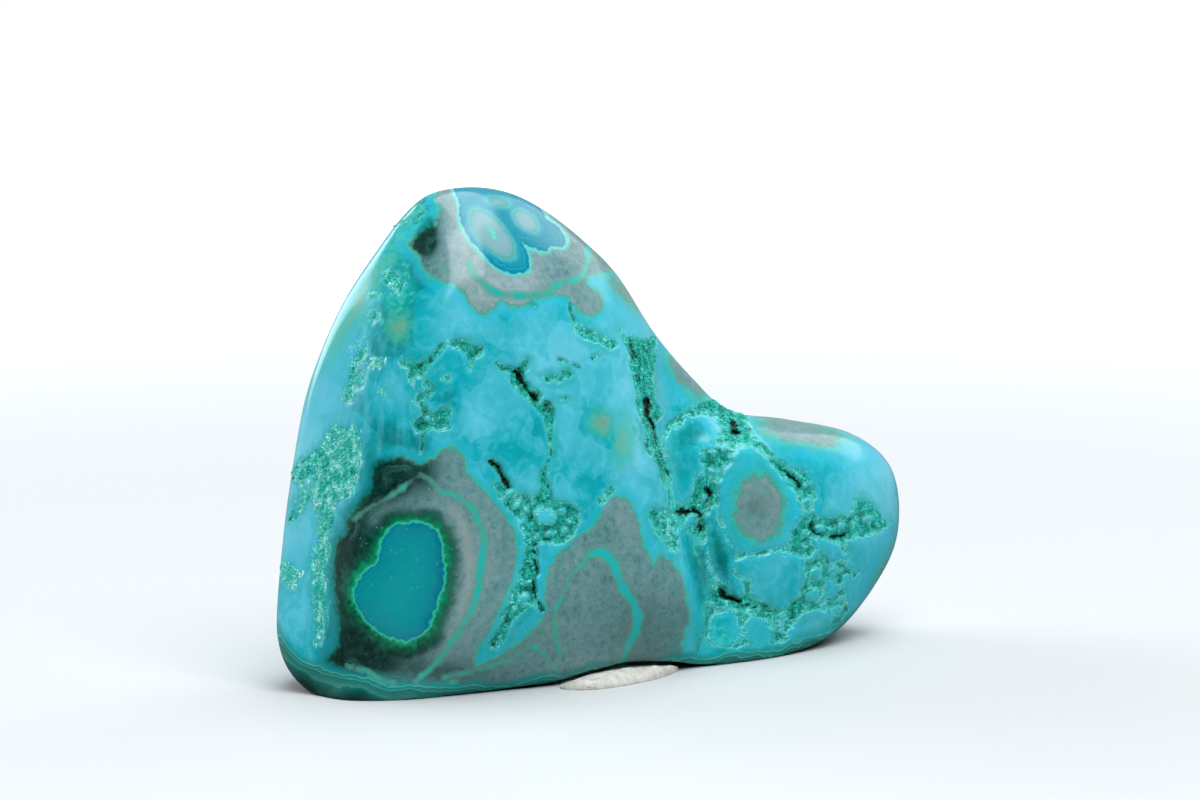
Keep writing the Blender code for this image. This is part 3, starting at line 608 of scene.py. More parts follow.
GREAT_CORE = (
    (41.4, 52.3), (43.1, 52.7), (44.0, 54.0), (44.4, 57.1), (44.2, 58.8), (43.3, 61.4), (42.5, 63.1),
    (40.7, 64.0), (39.2, 63.8), (37.7, 62.9), (36.4, 61.6), (35.5, 60.1), (35.6, 58.6), (36.4, 57.3),
    (37.7, 56.2), (38.1, 54.5), (38.8, 53.2), (39.9, 52.5),
)
GREAT_ZONE = (
    (37.7, 46.5), (39.9, 45.8), (41.2, 46.0), (42.0, 46.5), (43.3, 45.8), (44.6, 44.9), (46.2, 45.4),
    (46.8, 47.3), (48.3, 49.1), (49.6, 50.6), (50.9, 52.1), (51.6, 54.0), (51.3, 57.5), (50.1, 60.5),
    (49.0, 63.1), (47.4, 65.5), (47.4, 67.6), (42.0, 68.6), (36.5, 68.0), (34.7, 66.8), (32.9, 66.0),
    (34.0, 64.7), (34.2, 61.8), (33.8, 59.7), (33.6, 56.9), (33.8, 54.5), (34.7, 53.2), (35.3, 51.4),
    (36.8, 49.7), (37.5, 48.2),
)
ARCH_ZONE = (
    (60.1, 51.4), (59.4, 52.6), (57.9, 53.7), (56.5, 54.8), (55.4, 56.2), (54.7, 58.2), (54.5, 60.1),
    (54.2, 61.9), (52.6, 63.6), (51.0, 65.0), (48.5, 66.2), (46.0, 67.4), (47.0, 69.0), (56.0, 69.0),
    (63.0, 67.8), (67.6, 67.2), (68.3, 63.5), (69.0, 61.9), (68.5, 60.0), (68.1, 57.6), (67.2, 56.2),
    (66.0, 55.5), (65.4, 56.7), (64.7, 55.3), (64.2, 53.7), (63.6, 51.6), (62.9, 50.0), (61.5, 49.7),
    (60.6, 50.1),
)
TOP_ZONE = (
    (43.6, 19.2), (43.9, 21.0), (43.4, 22.2), (42.6, 23.1), (41.2, 23.8), (40.7, 24.6), (42.0, 25.8),
    (42.4, 27.0), (43.8, 28.0), (45.4, 28.5), (46.6, 29.4), (47.4, 30.7), (48.6, 31.5), (49.3, 30.9),
    (50.2, 30.0), (51.0, 30.7), (52.4, 30.6), (53.5, 30.0), (55.0, 29.6), (56.4, 29.5), (57.4, 30.6),
    (58.3, 31.3), (59.4, 31.5), (60.3, 30.8), (60.1, 29.7), (59.2, 28.9), (58.6, 28.3), (58.9, 27.7),
    (59.5, 27.4), (60.7, 27.2), (61.8, 26.4), (59.6, 23.6), (55.0, 20.2), (50.0, 17.8), (46.0, 17.2),
)
# Small grey eyes: right, down, half length, half width and degrees that the length is turned below level.
FRONT_EYES = (
    (62.2, 29.1, 1.5, 0.5, 50.0), (68.7, 37.5, 2.3, 0.9, 50.0), (80.0, 43.2, 3.9, 1.2, 12.0),
    (75.9, 50.7, 3.3, 2.5, 90.0), (88.6, 57.6, 1.6, 0.5, 110.0),
)
# How fast the distance into a small eye grows, against that into an outline.
EYE_SOFTNESS = 0.6

# Blue rings at the top, and their grey hearts.
TOP_RINGS = (
    (45.4, 17.8), (45.9, 20.6), (45.9, 21.8), (46.4, 23.1), (47.1, 24.1), (48.0, 25.2), (49.3, 26.5),
    (50.7, 27.3), (51.8, 27.4), (52.7, 27.2), (53.0, 26.3), (52.7, 25.0), (52.35, 24.2), (52.9, 24.7),
    (53.7, 25.0), (54.6, 25.2), (55.2, 24.7), (56.1, 24.8), (56.7, 24.3), (56.4, 23.4), (55.7, 22.5),
    (54.8, 21.9), (53.5, 20.0), (50.0, 17.4),
)
FRONT_HEARTS = (
    (49.2, 23.4, 3.1, 1.35, 49.0), (52.6, 22.1, 1.5, 0.8, 40.0), (49.8, 20.2, 1.1, 0.45, 15.0),
)
HEART_SPARK = (49.3, 23.2, 1.0, 0.55, 49.0)

# Bright veins: half width, which is below 0 where a vein is only faint, then the line.
FRONT_VEINS = (
    (-0.12, (35.3, 51.9), (36.8, 50.8), (38.6, 49.9), (39.9, 49.1), (41.0, 48.2), (42.0, 47.5),
     (43.1, 48.0)),
    (0.0, (43.1, 48.0), (44.0, 49.1), (45.9, 49.7), (47.2, 50.8)),
    (0.14, (47.2, 50.8), (47.9, 52.3), (48.5, 54.0), (48.1, 56.2), (47.9, 58.6), (47.2, 61.0),
     (45.9, 63.1)),
    (0.02, (45.9, 63.1), (44.6, 65.1), (43.3, 66.6), (41.6, 68.1)),
    (0.24, (59.0, 55.4), (60.1, 55.1), (61.1, 55.9), (61.7, 57.3), (62.2, 58.7), (63.3, 60.1), (63.8, 61.7),
     (63.5, 63.4), (62.7, 64.8), (62.2, 66.4)),
    (0.0, (59.0, 55.4), (58.3, 56.4), (56.9, 57.5), (56.5, 59.1), (55.6, 60.9), (55.4, 62.3), (55.6, 64.1),
     (56.1, 66.4)),
    (-0.04, (55.6, 66.8), (54.4, 65.4), (53.2, 64.6), (51.2, 65.8), (49.0, 66.6), (47.0, 67.2),
     (44.5, 67.8)),
    (0.1, (46.8, 26.2), (47.5, 27.6), (49.1, 29.1), (50.5, 29.5), (52.1, 29.65), (54.0, 29.5), (55.0, 29.3),
     (55.5, 28.4), (56.8, 28.2), (58.3, 27.6), (58.85, 26.2), (58.7, 24.9)),
    (0.02, (44.3, 26.6), (44.9, 27.3)),
    (-0.02, (34.8, 66.6), (37.0, 67.3), (38.3, 68.2), (39.4, 68.2)),
)

# Tan flecks, as the eyes are given.
FRONT_FLECKS = (
    (60.3, 42.3, 1.1, 1.0, 0.0), (62.3, 43.9, 1.5, 0.6, 90.0), (39.9, 32.6, 1.0, 0.9, 90.0),
    (73.9, 50.0, 1.8, 0.6, 90.0), (35.8, 30.6, 4.4, 0.5, 122.0),
)

# Where the teal and the grey are deeper, or paler below 0: right, down, half width, half height and how much.
# The pale spots at the top, down the left face and at the right end are painted sheen.
FRONT_TONES_AND_SHEEN = (
    (40.0, 34.0, 3.8, 2.6, 0.45), (40.2, 44.2, 3.2, 2.6, 0.85), (36.0, 46.5, 1.6, 6.0, 0.6),
    (33.6, 57.0, 1.2, 9.0, 0.5), (31.5, 63.5, 3.5, 3.5, 0.4), (42.6, 21.6, 1.8, 2.4, 1.2),
    (50.0, 42.0, 4.6, 5.0, -0.4), (56.0, 34.0, 9.0, 3.6, -0.7), (63.5, 42.0, 2.4, 7.0, -0.6),
    (59.0, 43.0, 4.0, 5.0, -0.3), (30.5, 42.0, 3.0, 12.0, -1.3), (30.0, 57.0, 2.4, 9.0, -0.9),
    (52.0, 22.0, 9.0, 5.5, -0.9), (50.5, 28.8, 5.5, 2.6, -1.3), (45.8, 23.0, 1.8, 4.0, -0.4),
    (87.4, 54.0, 3.0, 5.0, -0.7), (77.0, 50.0, 7.0, 8.0, -0.5), (63.0, 45.5, 1.6, 2.5, -0.5),
    (47.2, 57.0, 2.4, 6.0, -0.5), (39.5, 39.5, 1.8, 2.0, -0.5), (68.6, 46.0, 2.4, 4.8, 0.6),
    (72.2, 55.6, 1.8, 5.0, 1.0), (70.4, 58.0, 1.4, 5.0, 0.6), (41.2, 26.5, 2.4, 5.0, 1.1),
    (38.4, 31.0, 1.6, 3.0, 0.6), (76.0, 57.5, 7.0, 6.0, 0.28), (63.6, 42.0, 1.8, 10.0, -0.7),
    (86.5, 48.5, 4.0, 6.0, -0.9), (70.2, 53.6, 1.6, 3.0, 0.7), (56.5, 24.5, 3.0, 4.5, 0.9),
    (33.4, 34.6, 1.8, 4.4, -1.6), (67.8, 44.5, 2.0, 3.0, 0.5), (45.0, 40.2, 1.3, 1.2, 0.9),
    (41.6, 38.2, 0.9, 0.9, 0.7), (42.6, 45.2, 1.1, 0.9, 0.8), (47.6, 41.0, 2.4, 2.2, -0.5),
    (51.5, 45.5, 2.0, 3.0, 0.4), (57.5, 47.0, 2.6, 2.0, 0.5), (70.5, 60.0, 2.0, 6.0, 0.4),
)

# Where green crystals show through the polish: right, down, half width, half height and strength.
FRONT_GREENS = (
    (71.8, 46.5, 2.2, 4.5, 0.9), (69.5, 53.5, 2.2, 3.0, 0.8), (80.0, 53.5, 4.5, 2.2, 0.7),
    (81.5, 58.5, 3.0, 3.0, 0.7), (87.6, 48.0, 2.4, 4.4, 0.35), (73.0, 64.0, 3.5, 1.6, 0.8),
    (70.2, 60.0, 1.6, 4.5, 0.8), (64.5, 38.5, 1.6, 7.0, 0.8), (39.0, 45.5, 3.0, 1.8, 0.9),
    (40.6, 26.5, 1.9, 4.5, 1.0), (42.4, 21.4, 1.9, 2.0, 1.2), (39.4, 29.6, 1.6, 2.2, 0.7),
    (36.0, 50.0, 1.6, 3.0, 0.5), (57.0, 32.5, 4.0, 1.5, 0.4), (61.5, 43.0, 2.4, 2.4, 0.5),
    (31.5, 52.0, 2.0, 8.0, 0.5), (37.0, 36.0, 2.0, 3.0, 0.4),
)

# Where the grey is almost black: right, down, half width, half height and strength.
FRONT_GLOOM = (
    (34.2, 57.5, 3.2, 9.5, 1.4), (38.0, 47.6, 3.9, 3.0, 1.2), (37.0, 65.5, 5.5, 2.8, 0.9),
    (42.3, 24.4, 1.5, 1.4, 1.15), (42.8, 22.8, 1.0, 1.8, 1.0), (42.6, 47.4, 2.2, 2.4, 0.5),
    (45.5, 67.5, 6.5, 1.6, 0.5), (64.5, 62.5, 5.5, 4.5, 0.35), (75.8, 50.8, 2.0, 1.4, 0.4),
)

# The beds along the lower edge, which go on below the stone's outline; toward the underside their colours
# darken with painted shade.
FRONT_BEDS = (
    (26.0, 62.4), (28.5, 64.6), (31.0, 66.2), (34.0, 67.6), (37.0, 68.5), (40.0, 68.9), (44.0, 68.9),
    (50.0, 68.2), (56.0, 67.3), (62.0, 66.4), (68.0, 66.1), (76.0, 65.4), (82.0, 63.6), (88.0, 60.2),
    (92.0, 66.0), (80.0, 76.0), (40.0, 80.0), (22.0, 74.0),
)


def turned(points, about, to, size, degrees):
    """An outline for another place: each point turned and resized about one place, and moved to another."""
    a = radians(degrees)
    x, y = ((np.asarray(points, float) - about) * size).T
    return np.stack([x * cos(a) - y * sin(a), x * sin(a) + y * cos(a)], 1) + to


def oval(sheet, right, down, half_length, half_width, degrees):
    """About how far inside an oval: (1 - sqrt(u^2 / a^2 + v^2 / b^2)) b, along its own axes u and v."""
    a = radians(degrees)
    x, y = sheet[..., 0] - right, sheet[..., 1] - down
    u, v = x * cos(a) + y * sin(a), y * cos(a) - x * sin(a)
    return (1 - np.hypot(u / half_length, v / half_width)) * half_width


def blots(sheet, spots):
    """A sum of soft spots, each strength e^(-(x^2 / a^2 + y^2 / b^2))."""
    total = np.zeros(sheet.shape[:-1])
    for right, down, half_width, half_height, strength in spots:
        x, y = (sheet[..., 0] - right) / half_width, (sheet[..., 1] - down) / half_height
        total += strength * np.exp(-(x**2 + y**2))
    return total


def bands(sheet, core, zones, eyes, rings, hearts, spark, veins, flecks, tones_and_sheen, greens, gloom, beds):
    """The distances and strengths that the colours follow. Each is over 0 inside its own feature."""
    grey = [inside(sheet, zone) for zone in zones] + [EYE_SOFTNESS * oval(sheet, *eye) for eye in eyes]
    return {
        "core": inside(sheet, core),
        "grey": np.max(grey, 0),
        "rings": inside(sheet, rings),
        "heart": np.max([oval(sheet, *heart) for heart in hearts], 0),
        "spark": oval(sheet, *spark),
        "vein": np.max([half_width - distance_to_line(sheet, line) for half_width, *line in veins], 0),
        "fleck": np.max([oval(sheet, *fleck) for fleck in flecks], 0),
        "tone_and_sheen": blots(sheet, tones_and_sheen),
        "green": blots(sheet, greens),
        "gloom": blots(sheet, gloom),
        "beds": inside(sheet, beds),
    }


FRONT_BANDS = {
    "core": GREAT_CORE,
    "zones": (GREAT_ZONE, ARCH_ZONE, TOP_ZONE),
    "eyes": FRONT_EYES,
    "rings": TOP_RINGS,
    "hearts": FRONT_HEARTS,
    "spark": HEART_SPARK,
    "veins": FRONT_VEINS,
    "flecks": FRONT_FLECKS,
    "tones_and_sheen": FRONT_TONES_AND_SHEEN,
    "greens": FRONT_GREENS,
    "gloom": FRONT_GLOOM,
    "beds": FRONT_BEDS,
}

# The back: the same growths, cut elsewhere. A cut turns them about a place, moves that, and gives their size.
CORE_CUT = ((40.0, 58.0), (70.5, 55.5), 0.8, 115.0)
ZONE_CUT = ((42.0, 57.0), (69.8, 56.5), 0.78, 115.0)
ARCH_CUT = ((61.0, 60.0), (42.5, 61.5), 0.95, 8.0)
RINGS_CUT = ((50.0, 23.0), (52.5, 44.0), 1.25, 200.0)
BACK_TOP = (
    (42.0, 18.0), (41.5, 23.0), (44.0, 26.0), (47.5, 26.0), (50.0, 28.4), (53.5, 28.0), (56.0, 30.0),
    (58.2, 29.0), (61.0, 29.0), (62.5, 26.0), (58.0, 21.0), (50.0, 17.0),
)
BACK_TOP_VEIN = (0.12, (44.0, 22.0), (47.0, 24.2), (51.0, 25.4), (55.0, 27.4), (59.0, 26.6))
BACK_BANDS = {
    "core": turned(GREAT_CORE, *CORE_CUT),
    "zones": (turned(GREAT_ZONE, *ZONE_CUT), turned(ARCH_ZONE, *ARCH_CUT), BACK_TOP),
    "eyes": ((52.8, 44.0, 6.2, 4.2, 20.0), (82.0, 48.0, 3.0, 1.4, 20.0), (36.0, 48.0, 1.8, 2.8, 10.0)),
    "rings": turned(TOP_RINGS[2:-2], *RINGS_CUT),
    "hearts": ((53.0, 43.5, 3.4, 1.5, 229.0), (49.3, 45.3, 1.7, 0.9, 220.0)),
    "spark": (53.0, 43.5, 1.1, 0.6, 229.0),
    "veins": [(width, *turned(line, *ARCH_CUT)) for width, *line in FRONT_VEINS[4:6]]
    + [(width, *turned(line, *ZONE_CUT)) for width, *line in FRONT_VEINS[:4]]
    + [BACK_TOP_VEIN],
    "flecks": ((60.0, 50.0, 1.2, 1.0, 90.0), (47.0, 35.5, 1.4, 0.8, 0.0), (38.8, 36.5, 4.5, 0.6, 55.0)),
    "tones_and_sheen": (
        (48.0, 38.0, 5.0, 4.0, 0.6), (58.0, 54.0, 5.0, 4.0, 0.5), (78.0, 50.0, 5.0, 5.0, -0.4),
        (38.0, 44.0, 4.0, 6.0, -0.5),
    ),
    "greens": (
        (62.0, 44.0, 2.5, 8.0, 0.8), (78.0, 55.0, 3.0, 4.0, 0.7), (43.0, 45.0, 4.0, 3.0, 0.7),
        (56.0, 61.0, 4.0, 2.0, 0.6),
    ),
    "gloom": ((66.0, 58.0, 4.0, 4.0, 0.9), (45.0, 64.0, 5.0, 3.0, 0.6), (50.0, 22.0, 5.0, 2.0, 0.3)),
    "beds": FRONT_BEDS,
}

# How far out, as shares of the way to the rim, the back's colours start and end turning into the front's.
RIM_WRAP = (0.80, 0.97)


def stone_fields():
    """Both sides' places and what they carry. Near the rim, the back carries what the front does."""
    disc = disc_grid(STONE_GRID)
    sheet, _, share = laid_on_sheet(disc)
    wrap = smooth_step(*RIM_WRAP, share)
    unbroken = [stone_side(disc, side, 0.0) for side in (1, -1)]
    around = unbroken[1] + (unbroken[0] - unbroken[1]) * wrap[..., None]
    carvings = (
        carved(sheet, unbroken[0], FRONT_CREVICES, FRONT_PATCHES, FRONT_LUMPS, FRONT_BEADS),
        carved(sheet, around, BACK_CREVICES, BACK_PATCHES, BACK_LUMPS, BACK_BEADS),
    )
    sides = bands(sheet, **FRONT_BANDS), bands(sheet, **BACK_BANDS)
    for layers, (cut, within, pale) in zip(sides, carvings):
        layers["cut"], layers["druse"], layers["pale"] = cut, within, pale
    front, back = sides
    back = {name: back[name] + (front[name] - back[name]) * wrap for name in back}
    places = stone_side(disc, 1, front["cut"]), stone_side(disc, -1, back["cut"])
    return places, (front, back), sheet


def closed_shell(front, back):
    """Two square grids that share their edge, as one shell: the front's places, then the back's inner ones.

    Returns the places, the squares between them, and which places of the back's grid are inner ones.
    """
    size = front.shape[0]
    edge = np.zeros((size, size), bool)
    edge[[0, -1], :] = edge[:, [0, -1]] = True
    front_index = np.arange(size * size).reshape(size, size)
    back_index = front_index.copy()
    back_index[~edge] = size * size + np.arange((~edge).sum())
    first = front_index[:-1, :-1].ravel()
    squares = np.stack([first, first + 1, first + size + 1, first + size], 1)
    places = np.concatenate([front.reshape(-1, 3), back[~edge]])
    return places, np.concatenate([squares[:, ::-1], back_index.ravel()[squares]]), ~edge


def mesh_of(name, places, faces, fields=None):
    """A smooth mesh in metres from places in millimetres, with what each place carries as attributes."""
    mesh = bpy.data.meshes.new(name)
    mesh.from_pydata((places * MM).tolist(), [], faces)
    for field, values in (fields or {}).items():
        kind, part = ("FLOAT", "value") if values.ndim == 1 else ("FLOAT_VECTOR", "vector")
        mesh.attributes.new(field, kind, "POINT").data.foreach_set(part, values.astype(np.float32).ravel())
    mesh.shade_smooth()
    piece = bpy.data.objects.new(name, mesh)
    bpy.context.scene.collection.objects.link(piece)
    return piece


(front_places, back_places), (front_bands, back_bands), stone_sheet = stone_fields()
stone_places, stone_faces, back_inner = closed_shell(front_places, back_places)
stone_bands = {
    name: np.concatenate([band.ravel(), back_bands[name][back_inner]]) for name, band in front_bands.items()
}
flat_sheet = np.concatenate([stone_sheet.reshape(-1, 2), stone_sheet[back_inner]])
stone_bands["sheet"] = np.pad(flat_sheet, ((0, 0), (0, 1)))
stone = mesh_of("polished_stone", stone_places, stone_faces.tolist(), stone_bands)


# ---- The stone's finish --------------------------------------------------------------------------
# Chrysocolla is blue-green, cloudy and waxy, with faint outlines of its lumps. Malachite shows grey-green in
# the eyes. The whole has a satin polish, except the sugary crystals in the crevices.


def paint(red, green, blue, cover=1.0):
    """A colour for a shader from its 0 to 255 values, and how much it covers what is under it.

    A share c of 255 becomes c / 12.92 up to 0.04045, and ((c + 0.055) / 1.055)^2.4 above that.
    """
    share = np.array((red, green, blue)) / 255
    return (*np.where(share <= 0.04045, share / 12.92, ((share + 0.055) / 1.055) ** 2.4), cover)


def feed(tree, socket, value):
    """Links an output to the socket, or sets the socket to a number or colour."""
    if isinstance(value, bpy.types.NodeSocket):
        tree.links.new(value, socket)
    elif value is not None:
        socket.default_value = value


def add(tree, kind, *values, output=0, **settings):
    """A shader node with its settings and its inputs in order. None leaves an input as it is."""
    node = tree.nodes.new("ShaderNode" + kind)
    for name, value in settings.items():
        setattr(node, name, value)
    for socket, value in zip(node.inputs, values):
        feed(tree, socket, value)
    return node.outputs[output]


def maths(tree, operation, *values):
    """A sum, a product or the like of values, by Blender's name for it."""
    return add(tree, "Math", *values, operation=operation)


def times(tree, value, *others):
    """The values multiplied together."""
    for other in others:
        value = maths(tree, "MULTIPLY", value, other)
    return value


def carried(tree, name, output="Fac"):
    """What the mesh carries under that name."""
    return add(tree, "Attribute", attribute_name=name, output=output)


def cloud(tree, place, size, detail=3.0, output="Fac"):
    """Noise from 0 to 1 with features about `size` millimetres across, when place is in metres."""
    return add(tree, "TexNoise", place, None, 1 / (size * MM), detail, output=output)


def grapes(tree, place, size, output="Distance"):
    """Round cells about `size` millimetres across: the distance from the nearest middle, or its colour."""
    return add(tree, "TexVoronoi", place, None, 1 / (size * MM), output=output)


def cells(tree, place, size):
    """Round cells: the distance from the middle of each, and its chance value from 0 to 1."""
    return grapes(tree, place, size), add(tree, "SeparateColor", grapes(tree, place, size, "Color"))


def drawn_out(tree, place, *shares):
    """A place with its axes shortened to these shares, so that a pattern on it is drawn out."""
    return add(tree, "VectorMath", place, shares, operation="MULTIPLY")


def fade(tree, value, low, high):
    """0 where value is at low and 1 where it is at high."""
    return add(tree, "MapRange", value, low, high, 0.0, 1.0, interpolation_type="SMOOTHSTEP")


def laid_over(tree, under, cover, over):
    """Colour `over` on colour `under`, as far as cover says.

    The node keeps its colours at inputs 6 and 7, and at output 2.
    """
    node = tree.nodes.new("ShaderNodeMix")
    node.data_type = "RGBA"
    for index, value in ((0, cover), (6, under), (7, over)):
        feed(tree, node.inputs[index], value)
    return node.outputs[2]


def graded(tree, value, *stops):
    """The colour and cover of a value, between rising stops: (value, red, green, blue, and cover below 1)."""
    low, high = stops[0][0], stops[-1][0]
    ramp = tree.nodes.new("ShaderNodeValToRGB")
    tree.links.new(add(tree, "MapRange", value, low, high, 0.0, 1.0), ramp.inputs[0])
    marks = ramp.color_ramp.elements
    while len(marks) < len(stops):
        marks.new(0.5)
    for mark, (at, *_) in zip(marks, stops):
        mark.position = (at - low) / (high - low)
    for mark, (_, *colour) in zip(marks, stops):
        mark.color = paint(*colour)
    return ramp.outputs["Color"], ramp.outputs["Alpha"]


def banded(tree, under, value, *stops):
    """Bands of colour that follow a value, laid on what is under them."""
    colour, cover = graded(tree, value, *stops)
    return laid_over(tree, under, cover, colour)


def shifted(tree, value, *clouds):
    """A value moved by each cloud: (cloud, how far, and the cloud's mean where that isn't a half)."""
    for noise, reach, *mean in clouds:
        from_mean = maths(tree, "SUBTRACT", noise, mean[0] if mean else 0.5)
        value = maths(tree, "MULTIPLY_ADD", from_mean, reach, value)
    return value


def new_finish(name):
    """A material with its own Principled shader, and its node tree."""
    material = bpy.data.materials.new(name)
    material.use_nodes = True
    tree = material.node_tree
    return material, tree, tree.nodes["Principled BSDF"]


RELIEF_HEIGHT = 0.1


def relief(tree, shader, height):
    """Bumps on the surface, RELIEF_HEIGHT high where height is 1."""
    tree.links.new(add(tree, "Bump", None, RELIEF_HEIGHT * MM, None, height), shader.inputs["Normal"])


def sugar_group():
    """The colour of sugary crystals: dark to pale by chance, in fibrous drifts, and darkened by painted shade
    in deep crevices.
    """
    group = bpy.data.node_groups.new("sugary crystals", "ShaderNodeTree")
    for name, kind in (("Place", "Vector"), ("Chance", "Float"), ("Paleness", "Float"), ("Gloom", "Float")):
        group.interface.new_socket(name, in_out="INPUT", socket_type="NodeSocket" + kind)
    group.interface.new_socket("Colour", in_out="OUTPUT", socket_type="NodeSocketColor")
    given, result = group.nodes.new("NodeGroupInput").outputs, group.nodes.new("NodeGroupOutput").inputs
    place, chance = given["Place"], given["Chance"]
    # Painted shade: Gloom, from the crevice's depth, darkens the crystals.
    gloom = fade(group, shifted(group, given["Gloom"], (cloud(group, place, 1.6), 1.6)), 0.05, 0.95)
    fibres = cloud(group, drawn_out(group, place, 1.0, 1.0, 0.3), 0.5)
    shade = shifted(
        group, 0.5, (chance, 0.4), (cloud(group, place, 0.9), 1.2), (fibres, 0.9),
        (given["Paleness"], 0.4, 0.4), (gloom, -0.95, 0.0),
    )
    colour, _ = graded(
        group, shade,
        (-0.4, 4, 30, 24), (-0.15, 0, 76, 56), (0.05, 0, 120, 94), (0.25, 0, 154, 132),
        (0.45, 8, 175, 160), (0.68, 52, 200, 186), (0.9, 128, 225, 210), (1.15, 206, 244, 234),
    )
    rusty = times(group, fade(group, chance, 0.95, 0.96), gloom, 0.7)
    group.links.new(laid_over(group, colour, rusty, paint(140, 112, 84)), result["Colour"])
    return group


def use_group(tree, group, **values):
    """A placed group, with its inputs by name."""
    node = tree.nodes.new("ShaderNodeGroup")
    node.node_tree = group
    for name, value in values.items():
        feed(tree, node.inputs[name], value)
    return node.outputs


SUGAR = sugar_group()

# How deep a crevice is where painted shade starts to darken its crystals and where it is darkest, the great
# eye's middle on the sheet, and the way that the scratches run there.
CREVICE_SHADE_DEPTHS = (0.36, 1.20)
EYE_MIDDLE = (40.2, 58.3, 0.0)
SCRATCH_TURN = radians(38.0)


def teal_body(tree, place, fine):
    """Drifts of light and deep teal, greener ones, lumps with paler outlines, streaks up the left end, and
    painted sheen at the top and on the left face.
    """
    swirl = cloud(tree, place, 2.5, 2.0, "Color")
    bend = add(tree, "VectorMath", swirl, (1.8 * MM,) * 3, place, operation="MULTIPLY_ADD")
    lump, lump_chance = cells(tree, bend, 3.4)
    # Below 0, tone_and_sheen pushes the teal to its palest stops: painted sheen at the top, down the left
    # face and at the right end.
    depth = shifted(
        tree, 0.45, (cloud(tree, place, 8.0), 1.5), (carried(tree, "tone_and_sheen"), -0.5, 0.0),
        (lump_chance, 0.3), (fine, 0.25),
    )
    colour, _ = graded(
        tree, depth,
        (-0.3, 0, 108, 104), (0.05, 0, 140, 144), (0.34, 12, 167, 178), (0.58, 62, 180, 193),
        (0.8, 80, 188, 205), (1.2, 110, 200, 216), (1.7, 134, 208, 218),
    )
    broken = fade(tree, cloud(tree, place, 4.0), 0.5, 0.6)
    for distance, patchy in ((lump, fade(tree, fine, 0.25, 0.6)), (grapes(tree, bend, 1.6), broken)):
        from_ring = maths(tree, "ABSOLUTE", maths(tree, "SUBTRACT", distance, 0.46))
        ring = times(tree, fade(tree, from_ring, 0.14, 0.0), patchy, fade(tree, depth, -0.6, 2.6))
        colour = laid_over(tree, colour, ring, paint(92, 204, 220))
    green = shifted(tree, carried(tree, "green"), (cloud(tree, place, 5.0), 2.2, 0.62), (fine, 0.8))
    greened = fade(tree, green, 0.1, 0.9)
    colour = laid_over(tree, colour, times(tree, greened, 0.75), paint(16, 168, 158))
    greenest = fade(tree, shifted(tree, greened, (fine, 2.0)), 0.6, 1.2)
    pebbled = times(tree, fade(tree, grapes(tree, bend, 0.8), 0.38, 0.56), greenest, 0.45)
    colour = laid_over(tree, colour, pebbled, paint(92, 208, 186))
    streaks = fade(tree, cloud(tree, drawn_out(tree, place, 1.0, 1.0, 0.09), 0.8, 2.0), 0.42, 0.7)
    at_end = fade(tree, add(tree, "SeparateXYZ", place), -24.0 * MM, -31.0 * MM)
    return laid_over(tree, colour, times(tree, streaks, at_end, 0.25), paint(110, 205, 222))


